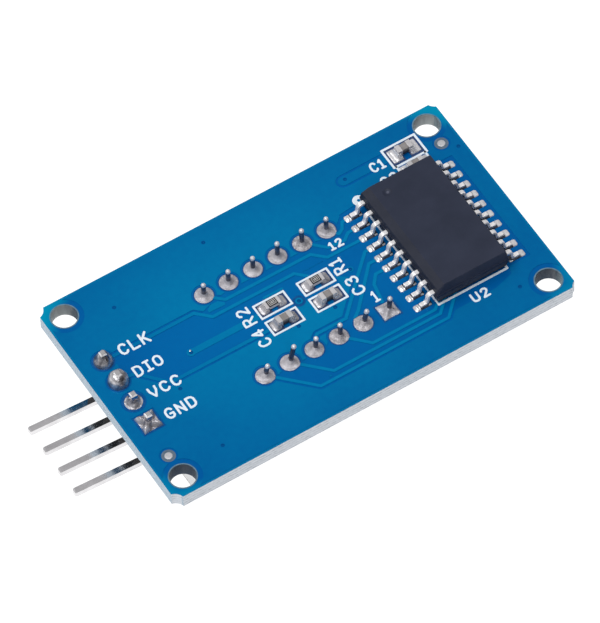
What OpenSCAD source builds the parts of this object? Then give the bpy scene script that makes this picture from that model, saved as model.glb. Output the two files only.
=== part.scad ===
// Four-digit seven segment display module, lying on its display with the component side up.
// Origin: centre of the four mounting holes, on the component face of the board.
// +X points to the driver chip, -X to the pin header, +Y to the long edge beside capacitor C1.
// The display hangs under the board, and its flat face is what the module rests on. Millimetres.

/* [Board] */
// Length of the board along X
board_l = 41.4; // [41:0.1:43]
// Width of the board along Y
board_w = 23.56; // [23.3:0.02:25]
// Thickness of the board
board_t = 1.5; // [1.2:0.1:1.6]
// Diameter of the mounting holes
hole_d = 2.4; // [2.2:0.1:2.6]
// Distance between mounting holes along X
hole_dx = 37.7; // [37.2:0.1:38]
// Distance between mounting holes along Y
hole_dy = 19.9; // [19.4:0.1:20.2]
// Radius of the scallop that takes off each corner
scallop_r = 1.08; // [0.9:0.02:1.2]
// How far outside the board the scallop centres lie, at the header end
scallop_out_left = 0.28; // [0.2:0.02:0.6]
// The same at the chip end, where the scallops are smaller
scallop_out_right = 0.46; // [0.2:0.02:0.6]
// Diameter of the plated holes for the display pins
display_hole_d = 0.9; // [0.7:0.05:1]
// Diameter of the plated holes for the header pins
header_hole_d = 1.0; // [0.9:0.05:1.1]

/* [Display] */
// Centre of the display along X
display_x = -1.04; // [-1.5:0.01:-0.5]
// Centre of the display along Y
display_y = 0.10; // [-0.3:0.01:0.3]
// Length of the display
display_l = 30.1; // [30:0.1:31]
// Width of the display
display_w = 14.0; // [13.8:0.1:14.4]
// Depth of the display, from the board to its face
display_h = 7.2; // [6.8:0.1:7.6]
// Wall around the back pocket of the display shell
display_wall = 0.8; // [0.6:0.1:1]
// Height of one digit
digit_h = 9.14; // [8.8:0.02:9.4]
// Width of one digit
digit_w = 5.0; // [4.6:0.1:5.2]
// Distance from digit to digit
digit_pitch = 7.4; // [7.2:0.1:7.5]
// Width of one segment
segment_w = 1.1; // [0.9:0.05:1.3]
// Lean of the digits from upright, in degrees
digit_slant = 8; // [0:1:10]
// Diameter of the colon dots
colon_d = 1.1; // [0.8:0.1:1.3]
// Thickness of the black film on the display's face
face_film = 0.1; // [0.05:0.01:0.2]
// Diameter of the display pins
display_pin_d = 0.45; // [0.4:0.05:0.6]
// Distance between pins, on the display and on the header
pitch = 2.54; // [2.54]
// Distance between the two rows of display pins
row_gap = 10.16; // [10.16]

/* [Header] */
// Position of the header pins along X
header_x = -18.43; // [-18.6:0.01:-18.2]
// Centre of the header along Y
header_y = 0.21; // [0:0.01:0.4]
// Side of the square header pins
header_pin = 0.6; // [0.5:0.02:0.64]
// Height of the pin stubs over the component face
stub_h = 1.35; // [1:0.05:1.6]
// Centreline radius of the pin bend
bend_r = 1.0; // [0.8:0.05:1.2]
// Upward tilt of the free pin ends, in degrees
pin_tilt = 4.75; // [0:0.25:8]
// Straight length of the free pin ends
pin_reach = 6.8; // [5:0.1:8]
// Length of the small bevel at both ends of a pin
pin_nose = 0.14; // [0.1:0.02:0.4]

/* [Driver chip] */
// Centre of the driver chip along X
ic_x = 12.97; // [12.8:0.01:13.1]
// Centre of the driver chip along Y
ic_y = -0.52; // [-0.7:0.01:-0.3]
// Length of the chip body
ic_l = 12.8; // [12.6:0.05:12.9]
// Width of the chip body
ic_w = 7.5; // [7.4:0.05:7.6]
// Gap under the chip body
ic_gap = 0.15; // [0.1:0.01:0.2]
// Height of the top of the chip body
ic_top = 2.35; // [2.3:0.05:2.6]
// Mould draft, measured across each half of the body
ic_draft = 0.21; // [0.1:0.01:0.3]
// Width of the sloped edge beside pin 1
ic_bevel = 0.74; // [0.5:0.01:0.9]
// Height of that sloped edge
ic_bevel_h = 0.35; // [0.2:0.01:0.7]
// Ledge where the two halves of the mould meet
ic_ledge = 0.04; // [0.02:0.01:0.06]
// Pitch of the leads
lead_pitch = 1.27; // [1.27]
// Width of a lead
lead_w = 0.42; // [0.36:0.02:0.48]
// Thickness of a lead
lead_t = 0.25; // [0.2:0.01:0.28]
// Distance from the chip's centre line to the lead tips
lead_reach = 5.15; // [5.1:0.01:5.3]

/* [Chip parts] */
// Length of a chip resistor or capacitor
chip_l = 1.54; // [1.5:0.02:1.7]
// Width of a chip resistor or capacitor
chip_w = 0.8; // [0.7:0.02:0.9]
// Height of a chip capacitor
cap_h = 0.76; // [0.6:0.02:0.9]
// Height of a chip resistor
res_h = 0.45; // [0.4:0.05:0.6]
// Length of the metal end of a capacitor
cap_end = 0.44; // [0.2:0.02:0.5]
// Length of the dark glaze on a resistor
glaze_l = 0.92; // [0.8:0.02:1]

/* [Hidden] */
$fn = 48;
eps = 0.5;
pad_t = 0.08;                       // solder between a lead and the board
plate = 0.04;                       // thickness of an end cap's metal
display_z0 = -board_t;              // back rim of the display
display_z1 = -board_t - display_h;  // face of the display, the lowest point
pocket_l = display_l - 2 * display_wall;
pocket_w = display_w - 2 * display_wall;
led_board_z0 = display_z0 - 1.8;    // front face of the board inside the display
led_board_t = 0.8;
potting_top = display_z0 - 0.1;
die = 0.3;                          // side of one light-emitting die
die_t = 0.15;
// height of each pin tip and its lean in degrees, from -X to +X
upper_tips = [[1.75, 0], [1.85, 0], [1.9, 0], [2.15, 0], [2.15, 0], [2.0, 0]];
lower_tips = [[1.52, 13], [2.37, 13], [1.74, 4], [1.86, 0], [1.81, 13], [1.85, 5]];
// the lower row of pins stands this far to +X of the middle of its holes
lower_shift = 0.15;
header_body_h = 2.54;
bend_z = -board_t - header_body_h - 0.19;
pin_bite = 0.08;                    // how much the bevel takes off each side at the very end
lead_z = (ic_gap + ic_top) / 2 - 0.025; // height of the leads where they leave the body
foot_z = pad_t + lead_t / 2;
lead_r = 0.3;
lead_a = 82;
// chip parts: centre of each
r1_at = [1.55, 1.0];
r2_at = [-2.94, 1.0];
c3_at = [1.55, -1.03];
c4_at = [-2.95, -1.03];
c1_at = [15.64, 8.7];
c2_at = [15.64, 6.65];

// ---------- helpers ----------
function display_pin_x(i) = display_x + (i - 2.5) * pitch;
function row_y(s) = display_y + s * row_gap / 2;
function header_pin_y(i) = header_y + (1.5 - i) * pitch;
function lead_y(i) = ic_y + (i - 4.5) * lead_pitch;
function arc(c, r, a0, a1, n) = [for (i = [0:n]) let (a = a0 + (a1 - a0) * i / n) [c[0] + r * cos(a), c[1] + r * sin(a)]];

// a flat outline in the XZ plane, given thickness along Y about y = 0
module side_profile(points, w) translate([0, w / 2, 0]) rotate([90, 0, 0]) linear_extrude(w) polygon(points);
// a flat outline in the YZ plane, given length along X about x = 0
module end_profile(points, l) translate([-l / 2, 0, 0]) rotate([90, 0, 90]) linear_extrude(l) polygon(points);
module block(l, w, z0, z1) translate([-l / 2, -w / 2, z0]) cube([l, w, z1 - z0]);

// ---------- board ----------
module pcb() color([0.04, 0.42, 0.66]) difference() {
    block(board_l, board_w, -board_t, 0);
    for (sx = [-1, 1], sy = [-1, 1]) {
        let (out = sx < 0 ? scallop_out_left : scallop_out_right)
            translate([sx * (board_l / 2 + out), sy * (board_w / 2 + out), -board_t - eps])
                cylinder(r = scallop_r, h = board_t + 2 * eps);
        translate([sx * hole_dx / 2, sy * hole_dy / 2, -board_t - eps])
            cylinder(d = hole_d, h = board_t + 2 * eps, $fn = 64);
    }
    for (s = [-1, 1], i = [0:5]) translate([display_pin_x(i), row_y(s), -board_t - eps])
        cylinder(d = display_hole_d, h = board_t + 2 * eps);
    for (i = [0:3]) translate([header_x, header_pin_y(i), -board_t - eps])
        cylinder(d = header_hole_d, h = board_t + 2 * eps);
}

// ---------- display ----------
// The digits are read from below, upright with +Y up, so left is +X.
function lean(p) = [-(p[0] + p[1] * tan(digit_slant)), p[1]];
function bar(l) = let (w = segment_w / 2) [[-l / 2, 0], [-l / 2 + w, w], [l / 2 - w, w], [l / 2, 0], [l / 2 - w, -w], [-l / 2 + w, -w]];
seg_x = (digit_w - segment_w) / 2;
seg_y = (digit_h - segment_w) / 2;
seg_gap = 0.3;
// centre of each of the seven segments, and whether it lies flat
SEGS = [[0, seg_y, true], [0, 0, true], [0, -seg_y, true],
        [-seg_x, seg_y / 2, false], [seg_x, seg_y / 2, false], [-seg_x, -seg_y / 2, false], [seg_x, -seg_y / 2, false]];
function seg_points(d, s) = [for (p = bar(s[2] ? 2 * seg_x - seg_gap : seg_y - seg_gap))
    lean([s[0] + (s[2] ? p[0] : p[1]), s[1] + (s[2] ? p[1] : p[0])]) + [display_x - (d - 1.5) * digit_pitch, display_y]];
function seg_centre(d, s) = lean([s[0], s[1]]) + [display_x - (d - 1.5) * digit_pitch, display_y];
function colon_centre(s) = lean([0, s * 1.75]) + [display_x, display_y];

module light_cavities(z0, z1) {
    for (d = [0:3], s = SEGS) translate([0, 0, z0]) linear_extrude(z1 - z0) polygon(seg_points(d, s));
    for (s = [-1, 1]) translate(concat(colon_centre(s), z0)) cylinder(d = colon_d, h = z1 - z0, $fn = 32);
}
module die_set() {
    for (d = [0:3], s = SEGS) translate(concat(seg_centre(d, s), 0)) block(die, die, led_board_z0 - die_t, led_board_z0);
    for (s = [-1, 1]) translate(concat(colon_centre(s), 0)) block(die, die, led_board_z0 - die_t, led_board_z0);
}
module round_wire(z0, z1) rotate_extrude($fn = 32) polygon(concat([[0, z0], [display_pin_d / 2, z0]],
    arc([0, z1 - display_pin_d / 2], display_pin_d / 2, 0, 90, 6)));
function shift(s) = s < 0 ? lower_shift : 0;
module display_pin(i, s, tip) translate([display_pin_x(i) + shift(s), row_y(s), 0]) {
    if (tip[1] == 0) round_wire(led_board_z0, tip[0]);
    else {
        knee = 0.74;
        translate([0, 0, led_board_z0]) cylinder(d = display_pin_d, h = knee - led_board_z0, $fn = 32);
        translate([0, 0, knee - 0.12]) rotate([0, tip[1], 0]) round_wire(0, tip[0] - knee + 0.12);
    }
}
module pin_bores(d) for (s = [-1, 1], i = [0:5]) translate([display_pin_x(i) + shift(s), row_y(s), led_board_z0 - eps])
    cylinder(d = d, h = 4, $fn = 32);

module display_housing() color([0.88, 0.88, 0.87]) difference() {
    translate([display_x, display_y, 0]) block(display_l, display_w, display_z1 + face_film, display_z0);
    translate([display_x, display_y, 0]) block(pocket_l, pocket_w, led_board_z0, display_z0 + eps);
    light_cavities(display_z1 - eps, led_board_z0 + eps);
}
module display_face_film() color([0.07, 0.07, 0.08]) difference() {
    translate([display_x, display_y, 0]) block(display_l, display_w, display_z1, display_z1 + face_film);
    light_cavities(display_z1 - eps, display_z1 + face_film + eps);
}
module display_segment_fill() color([0.93, 0.92, 0.88]) difference() {
    light_cavities(display_z1, led_board_z0);
    die_set();
}
module display_led_board() color([0.75, 0.7, 0.5]) difference() {
    translate([display_x, display_y, 0]) block(pocket_l, pocket_w, led_board_z0, led_board_z0 + led_board_t);
    pin_bores(display_pin_d);
}
module display_led_dies() color([0.85, 0.75, 0.3]) die_set();
module display_potting() color([0.85, 0.82, 0.7]) difference() {
    translate([display_x, display_y, 0]) block(pocket_l, pocket_w, led_board_z0 + led_board_t, potting_top);
    pin_bores(display_pin_d);
}
module display_pins_upper() color([0.78, 0.77, 0.76]) for (i = [0:5]) display_pin(i, 1, upper_tips[i]);
module display_pins_lower() color([0.78, 0.77, 0.76]) for (i = [0:5]) display_pin(i, -1, lower_tips[i]);

// ---------- header ----------
// One pin: a stub through the board, a bend under the plastic body, and a free end that runs out past the board.
function pin_side(side) = let (c = [header_x - bend_r, bend_z], r = bend_r + side * header_pin / 2, a = -90 - pin_tilt,
        u = [-cos(pin_tilt), sin(pin_tilt)], e = c + r * [cos(a), sin(a)])
    concat([[header_x + side * (header_pin / 2 - pin_bite), stub_h], [header_x + side * header_pin / 2, stub_h - pin_nose]],
        arc(c, r, 0, a, 12), [e + (pin_reach - pin_nose) * u, e + pin_reach * u - side * pin_bite * [cos(a), sin(a)]]);
function turned(v) = [for (i = [len(v) - 1:-1:0]) v[i]];
pin_tip_x = header_x - bend_r + bend_r * cos(-90 - pin_tilt) - pin_reach * cos(pin_tilt);
module header_pin_shape(i) translate([0, header_pin_y(i), 0]) intersection() {
    side_profile(concat(pin_side(1), turned(pin_side(-1))), header_pin);
    // both ends of the pin are also tapered across their width
    translate([0, 0, -10]) linear_extrude(20) polygon(let (w = header_pin / 2) [[header_x + 1, w], [pin_tip_x + pin_nose, w],
        [pin_tip_x - pin_nose, w - 2 * pin_bite], [pin_tip_x - pin_nose, -w + 2 * pin_bite], [pin_tip_x + pin_nose, -w], [header_x + 1, -w]]);
    translate([header_x - 5, 0, 0]) end_profile(let (w = header_pin / 2) [[-w, -10], [-w, stub_h - pin_nose], [-w + 2 * pin_bite, stub_h + pin_nose],
        [w - 2 * pin_bite, stub_h + pin_nose], [w, stub_h - pin_nose], [w, -10]], 14);
}
module header_body() color([0.06, 0.06, 0.06]) difference() {
    for (i = [0:3]) translate([header_x, header_pin_y(i), -board_t - header_body_h]) linear_extrude(header_body_h)
        let (a = 1.27, b = 0.8) polygon([[-a, -b], [-b, -a], [b, -a], [a, -b], [a, b], [b, a], [-b, a], [-a, b]]);
    for (i = [0:3]) translate([header_x, header_pin_y(i), 0]) block(header_pin, header_pin, -board_t - header_body_h - eps, 0);
}
module header_pin_clk() color([0.78, 0.77, 0.76]) header_pin_shape(0);
module header_pin_dio() color([0.78, 0.77, 0.76]) header_pin_shape(1);
module header_pin_vcc() color([0.78, 0.77, 0.76]) header_pin_shape(2);
module header_pin_gnd() color([0.78, 0.77, 0.76]) header_pin_shape(3);

// ---------- driver chip ----------
module ic_envelope() {
    hw = ic_w / 2;
    hl = ic_l / 2;
    translate([ic_x, ic_y, 0]) intersection() {
        side_profile([[-hw + ic_draft, ic_gap], [hw - ic_draft, ic_gap], [hw, lead_z - lead_t / 2], [hw, lead_z + lead_t / 2],
            [hw - ic_ledge, lead_z + lead_t / 2], [hw - ic_draft, ic_top], [-hw + 0.13 + ic_bevel, ic_top], [-hw + 0.13, ic_top - ic_bevel_h],
            [-hw + ic_ledge, lead_z + lead_t / 2], [-hw, lead_z + lead_t / 2], [-hw, lead_z - lead_t / 2]], ic_l + 2);
        end_profile([[-hl + ic_draft, ic_gap], [hl - ic_draft, ic_gap], [hl, lead_z - lead_t / 2], [hl, lead_z + lead_t / 2],
            [hl - ic_ledge, lead_z + lead_t / 2], [hl - ic_draft, ic_top], [-hl + ic_draft, ic_top],
            [-hl + ic_ledge, lead_z + lead_t / 2], [-hl, lead_z + lead_t / 2], [-hl, lead_z - lead_t / 2]], ic_w + 2);
    }
}
// one gull-wing lead, running towards +X from the chip's centre line
lead_u1 = ic_w / 2 + 0.28;
lead_drop = (lead_z - foot_z - 2 * lead_r * (1 - cos(lead_a))) / sin(lead_a);
lead_u2 = lead_u1 + 2 * lead_r * sin(lead_a) + lead_drop * cos(lead_a);
module lead(y) translate([ic_x, y, 0]) {
    c1 = [lead_u1, lead_z - lead_r];
    c2 = [lead_u2, foot_z + lead_r];
    o = lead_r + lead_t / 2;
    i = lead_r - lead_t / 2;
    side_profile(concat([[ic_w / 2 - 0.7, lead_z + lead_t / 2]], arc(c1, o, 90, 90 - lead_a, 6), arc(c2, i, 270 - lead_a, 270, 6),
        [[lead_reach, foot_z + lead_t / 2], [lead_reach, foot_z - lead_t / 2]], arc(c2, o, 270, 270 - lead_a, 6),
        arc(c1, i, 90 - lead_a, 90, 6), [[ic_w / 2 - 0.7, lead_z - lead_t / 2]]), lead_w);
}
module leads() for (n = [0:9]) lead(lead_y(n));
module about_ic() translate([ic_x, 0, 0]) mirror([1, 0, 0]) translate([-ic_x, 0, 0]) children();
module lead_slots() for (n = [0:9], s = [-1, 1]) translate([ic_x + s * (ic_w / 2 - 0.7 + 1), lead_y(n), 0])
    block(2, lead_w, lead_z - lead_t / 2, lead_z + lead_t / 2);

module driver_ic_body() color([0.16, 0.17, 0.22]) difference() {
    ic_envelope();
    lead_slots();
    translate([ic_x - 1.82, ic_y + 4.83, ic_top + 1.1]) sphere(r = 1.18, $fn = 64);
    translate([ic_x, ic_y, 0]) block(3.2, 4.6, lead_z - 0.125, lead_z + 0.075);
    translate([ic_x, ic_y, 0]) block(2.0, 2.6, lead_z + 0.075 - 0.01, lead_z + 0.375);
}
module driver_ic_die_pad() color([0.72, 0.45, 0.3]) translate([ic_x, ic_y, 0]) block(3.2, 4.6, lead_z - 0.125, lead_z + 0.075);
module driver_ic_die() color([0.35, 0.36, 0.4]) translate([ic_x, ic_y, 0]) block(2.0, 2.6, lead_z + 0.075, lead_z + 0.375);
module driver_ic_leads_left() color([0.78, 0.77, 0.76]) about_ic() leads();
module driver_ic_leads_right() color([0.78, 0.77, 0.76]) leads();

// ---------- chip resistors and capacitors ----------
module cap_core(at) translate([at[0], at[1], 0]) block(chip_l - 2 * plate, chip_w - 2 * plate, pad_t + plate, pad_t + cap_h - plate);
module cap_ends(at) difference() {
    for (s = [-1, 1]) translate([at[0] + s * (chip_l - cap_end) / 2, at[1], 0]) block(cap_end, chip_w, pad_t, pad_t + cap_h);
    cap_core(at);
}
module res_core(at) translate([at[0], at[1], 0]) {
    block(chip_l - 2 * plate, chip_w - 2 * plate, pad_t + plate, pad_t + res_h - plate - 0.03);
    block(glaze_l, chip_w - 2 * plate, pad_t + res_h - plate - 0.04, pad_t + res_h - 0.01);
}
module res_ends(at) difference() {
    for (s = [-1, 1]) translate([at[0] + s * (chip_l + glaze_l) / 4, at[1], 0]) block((chip_l - glaze_l) / 2, chip_w, pad_t, pad_t + res_h - 0.03);
    res_core(at);
}
module resistor_r1() color([0.12, 0.12, 0.13]) res_core(r1_at);
module resistor_r1_end_caps() color([0.8, 0.79, 0.78]) res_ends(r1_at);
module resistor_r2() color([0.12, 0.12, 0.13]) res_core(r2_at);
module resistor_r2_end_caps() color([0.8, 0.79, 0.78]) res_ends(r2_at);
module capacitor_c1() color([0.5, 0.46, 0.42]) cap_core(c1_at);
module capacitor_c1_end_caps() color([0.8, 0.79, 0.78]) cap_ends(c1_at);
module capacitor_c2() color([0.5, 0.46, 0.42]) cap_core(c2_at);
module capacitor_c2_end_caps() color([0.8, 0.79, 0.78]) cap_ends(c2_at);
module capacitor_c3() color([0.5, 0.46, 0.42]) cap_core(c3_at);
module capacitor_c3_end_caps() color([0.8, 0.79, 0.78]) cap_ends(c3_at);
module capacitor_c4() color([0.5, 0.46, 0.42]) cap_core(c4_at);
module capacitor_c4_end_caps() color([0.8, 0.79, 0.78]) cap_ends(c4_at);

// ---------- solder ----------
// fills the plated hole and rises in a cone around the pin; the joint of a square pad has a square foot
module through_joint(hole, pad, top, h, square_pad) {
    translate([0, 0, -board_t]) cylinder(d = hole, h = board_t + 0.01);
    if (square_pad) block(pad, pad, 0, 0.1); else cylinder(d = pad, h = 0.1);
    cylinder(d1 = pad, d2 = top, h = h);
}
module solder_display_pins() color([0.72, 0.71, 0.72]) for (s = [-1, 1], i = [0:5]) translate([display_pin_x(i), row_y(s), 0]) difference() {
    through_joint(display_hole_d, 1.7, 0.85, 0.55, s < 0 && i == 5);
    translate([shift(s), 0, -board_t - eps]) cylinder(d = display_pin_d, h = 4, $fn = 32);
}
module solder_header_pins() color([0.72, 0.71, 0.72]) for (i = [0:3]) translate([header_x, header_pin_y(i), 0]) difference() {
    through_joint(header_hole_d, 1.8, 0.96, 0.95, i == 3);
    block(header_pin, header_pin, -board_t - eps, 2);
}
module lead_joint(n) translate([ic_x, lead_y(n), 0]) side_profile([[3.9, 0], [5.7, 0], [5.66, 0.05], [5.4, 0.09],
    [lead_reach, 0.26], [lead_reach, pad_t], [3.9, pad_t]], 0.76);
module solder_driver_ic() color([0.72, 0.71, 0.72]) {
    for (n = [0:9]) lead_joint(n);
    about_ic() for (n = [0:9]) lead_joint(n);
}
// pads under a chip part: gap is the clear space between them, l and w their size, h how far the solder climbs
module chip_joints(at, gap, l, w, h) for (s = [0, 1]) translate([at[0], at[1], 0]) mirror([s, 0, 0])
    side_profile([[gap / 2, 0], [gap / 2 + l, 0], [gap / 2 + l, 0.06], [chip_l / 2 + 0.12, 0.2], [chip_l / 2, h],
        [chip_l / 2, pad_t], [gap / 2, pad_t]], w);
module solder_chip_parts() color([0.72, 0.71, 0.72]) {
    for (at = [r1_at, r2_at]) chip_joints(at, 0.8, 0.92, 1.16, 0.32);
    for (at = [c3_at, c4_at]) chip_joints(at, 0.8, 0.92, 1.16, 0.5);
    for (at = [c1_at, c2_at]) chip_joints(at, 0.8, 1.05, 1.5, 0.5);
}

pcb();
display_housing();
display_face_film();
display_segment_fill();
display_led_board();
display_led_dies();
display_potting();
display_pins_upper();
display_pins_lower();
header_body();
header_pin_clk();
header_pin_dio();
header_pin_vcc();
header_pin_gnd();
driver_ic_body();
driver_ic_die_pad();
driver_ic_die();
driver_ic_leads_left();
driver_ic_leads_right();
resistor_r1();
resistor_r1_end_caps();
resistor_r2();
resistor_r2_end_caps();
capacitor_c1();
capacitor_c1_end_caps();
capacitor_c2();
capacitor_c2_end_caps();
capacitor_c3();
capacitor_c3_end_caps();
capacitor_c4();
capacitor_c4_end_caps();
solder_display_pins();
solder_header_pins();
solder_driver_ic();
solder_chip_parts();
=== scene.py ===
import math
import random

import bpy
from mathutils import Matrix, Vector, noise
from mathutils.geometry import delaunay_2d_cdt


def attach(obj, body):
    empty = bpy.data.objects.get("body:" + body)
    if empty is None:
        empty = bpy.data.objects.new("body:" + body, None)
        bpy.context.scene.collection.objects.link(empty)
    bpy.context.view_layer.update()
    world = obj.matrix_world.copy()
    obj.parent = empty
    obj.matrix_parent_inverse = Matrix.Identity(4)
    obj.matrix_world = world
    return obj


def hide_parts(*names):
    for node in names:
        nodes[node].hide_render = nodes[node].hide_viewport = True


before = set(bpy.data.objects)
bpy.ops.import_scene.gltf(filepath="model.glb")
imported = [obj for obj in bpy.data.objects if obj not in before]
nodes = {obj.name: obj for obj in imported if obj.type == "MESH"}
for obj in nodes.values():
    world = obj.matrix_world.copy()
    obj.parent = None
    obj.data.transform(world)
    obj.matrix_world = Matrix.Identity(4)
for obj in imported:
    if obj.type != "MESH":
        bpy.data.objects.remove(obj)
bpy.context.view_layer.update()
scene = bpy.context.scene
MM = 0.001
T_COPPER = 0.035   # copper under the mask, mm
T_PRINT = 0.05     # white print, mm

# ------------------------------------------------------------------ places, in mm in the row frame
BOARD_L, BOARD_W, BOARD_T = 41.4, 23.56, 1.5
HOLES = [(sx * 18.85, sy * 9.95) for sx in (-1, 1) for sy in (-1, 1)]
PIN_X = [-1.04 + (i - 2.5) * 2.54 for i in range(6)]
ROW_Y = (0.10 + 5.08, 0.10 - 5.08)
PIN_TOPS = ((1.75, 1.85, 1.9, 2.15, 2.15, 2.0), (1.50, 2.34, 1.74, 1.86, 1.78, 1.85))  # upper and lower row
HEAD_X = -18.43
HEAD_Y = [0.21 + (1.5 - i) * 2.54 for i in range(4)]
IC_X, IC_Y = 12.97, -0.52
LEAD_Y = [IC_Y + (n - 4.5) * 1.27 for n in range(10)]
CHIPS = {"r1": (1.55, 1.0), "r2": (-2.94, 1.0), "c3": (1.55, -1.03), "c4": (-2.95, -1.03), "c1": (15.64, 8.7), "c2": (15.64, 6.65)}
CHIP_L, CHIP_W = 1.54, 0.8
FLOOR_Z = -8.72


# ------------------------------------------------------------------ materials
def ramp(nt, fac, stops):
    r = nt.nodes.new("ShaderNodeValToRGB")
    els = r.color_ramp.elements
    while len(els) < len(stops):
        els.new(0.5)
    for e, (p, c) in zip(els, stops):
        e.position = p
        e.color = (*c, 1) if len(c) == 3 else c
    nt.links.new(fac, r.inputs["Fac"])
    return r.outputs["Color"]


def tex_noise(nt, vec, scale, detail=3.0, rough=0.55):
    n = nt.nodes.new("ShaderNodeTexNoise")
    n.inputs["Scale"].default_value = scale
    n.inputs["Detail"].default_value = detail
    n.inputs["Roughness"].default_value = rough
    nt.links.new(vec, n.inputs["Vector"])
    return n.outputs["Fac"]


def math_node(nt, op, a, b=None, c=None, clamp=False):
    m = nt.nodes.new("ShaderNodeMath")
    m.operation = op
    m.use_clamp = clamp
    for i, v in enumerate((a, b, c)):
        if v is None:
            continue
        if isinstance(v, (int, float)):
            m.inputs[i].default_value = v
        else:
            nt.links.new(v, m.inputs[i])
    return m.outputs[0]


def map_range(nt, v, a, b, c, d, smooth=False):
    m = nt.nodes.new("ShaderNodeMapRange")
    m.interpolation_type = "SMOOTHSTEP" if smooth else "LINEAR"
    for i, x in enumerate((a, b, c, d)):
        m.inputs[i + 1].default_value = x
    nt.links.new(v, m.inputs[0])
    return m.outputs[0]


def mix_col(nt, fac, a, b):
    m = nt.nodes.new("ShaderNodeMix")
    m.data_type = "RGBA"
    for sock, v in ((m.inputs[0], fac), (m.inputs[6], a), (m.inputs[7], b)):
        if isinstance(v, (int, float)):
            sock.default_value = v
        elif isinstance(v, tuple):
            sock.default_value = (*v, 1) if len(v) == 3 else v
        else:
            nt.links.new(v, sock)
    return m.outputs[2]


def bump(nt, heights, shader):
    """heights: list of (height output, strength, distance in metres)."""
    last = None
    for h, strength, dist in heights:
        b = nt.nodes.new("ShaderNodeBump")
        b.inputs["Strength"].default_value = strength
        b.inputs["Distance"].default_value = dist
        nt.links.new(h, b.inputs["Height"])
        if last is not None:
            nt.links.new(last, b.inputs["Normal"])
        last = b.outputs["Normal"]
    nt.links.new(last, shader.inputs["Normal"])


def start(name):
    m = bpy.data.materials.new(name)
    m.use_nodes = True
    nt = m.node_tree
    sh = nt.nodes["Principled BSDF"]
    tc = nt.nodes.new("ShaderNodeTexCoord")
    return m, nt, sh, tc.outputs["Object"]


def simple(name, dark, light, rough=(0.4, 0.5), metal=0.0, scale=1500.0, grain=(6000.0, 0.15, 0.00002), spec=None, ior=None, coat=None, coat_rough=0.1, sub=None):
    """A base colour that wanders between two close tones, roughness that wanders with it, and a fine bump."""
    m, nt, sh, vec = start(name)
    n1 = tex_noise(nt, vec, scale, 4.0)
    nt.links.new(ramp(nt, n1, [(0.32, dark), (0.68, light)]), sh.inputs["Base Color"])
    n2 = tex_noise(nt, vec, scale * 2.3, 3.0)
    nt.links.new(map_range(nt, n2, 0.3, 0.7, rough[0], rough[1]), sh.inputs["Roughness"])
    sh.inputs["Metallic"].default_value = metal
    if spec is not None:
        sh.inputs["Specular IOR Level"].default_value = spec
    if ior is not None:
        sh.inputs["IOR"].default_value = ior
    if coat is not None:
        sh.inputs["Coat Weight"].default_value = coat
        sh.inputs["Coat Roughness"].default_value = coat_rough
    if sub is not None:
        sh.inputs["Subsurface Weight"].default_value = sub
        sh.inputs["Subsurface Scale"].default_value = 0.0006
    if grain:
        bump(nt, [(tex_noise(nt, vec, grain[0], 3.0), grain[1], grain[2])], sh)
    return m


ROYAL = (0.0, 0.084, 0.300)
TEAL = (0.0, 0.285, 0.46)


def middle(nt, vec):
    """1 in the middle of the board and 0 towards its ends."""
    mp = nt.nodes.new("ShaderNodeMapping")
    mp.inputs["Location"].default_value = (0.12, -0.05, 0.0)
    mp.inputs["Scale"].default_value = (42.0, 62.0, 0.0)
    nt.links.new(vec, mp.inputs["Vector"])
    ln = nt.nodes.new("ShaderNodeVectorMath")
    ln.operation = "LENGTH"
    nt.links.new(mp.outputs[0], ln.inputs[0])
    return map_range(nt, ln.outputs["Value"], 0.15, 1.0, 1.0, 0.0, True)


def mask_tone(nt, vec, low, high):
    """The mask's slow drift in colour: deeper towards the ends, large soft clouds and a trace of fine mottling."""
    big = tex_noise(nt, vec, 90.0, 2.0)
    fine = tex_noise(nt, vec, 1500.0, 3.0)
    f = math_node(nt, "MULTIPLY_ADD", fine, 0.22, math_node(nt, "MULTIPLY", big, 0.38))
    f = math_node(nt, "MULTIPLY_ADD", middle(nt, vec), 0.42, f)
    return ramp(nt, f, [(0.20, low), (0.78, high)])


def mask_gloss(sh):
    """Thin glossy mask: what it mirrors is tinted by the blue resin."""
    sh.inputs["Specular IOR Level"].default_value = 0.42
    sh.inputs["Specular Tint"].default_value = (0.02, 0.42, 0.80, 1.0)


def mat_mask_copper():
    m, nt, sh, vec = start("mask_over_copper")
    nt.links.new(mask_tone(nt, vec, (0.0, 0.104, 0.302), (0.0, 0.180, 0.388)), sh.inputs["Base Color"])
    n = tex_noise(nt, vec, 900.0, 2.0)
    nt.links.new(map_range(nt, n, 0.3, 0.7, 0.13, 0.20), sh.inputs["Roughness"])
    mask_gloss(sh)
    bump(nt, [(tex_noise(nt, vec, 420.0, 2.0), 0.10, 0.00003), (tex_noise(nt, vec, 5000.0, 2.0), 0.06, 0.00001)], sh)
    return m


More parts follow.
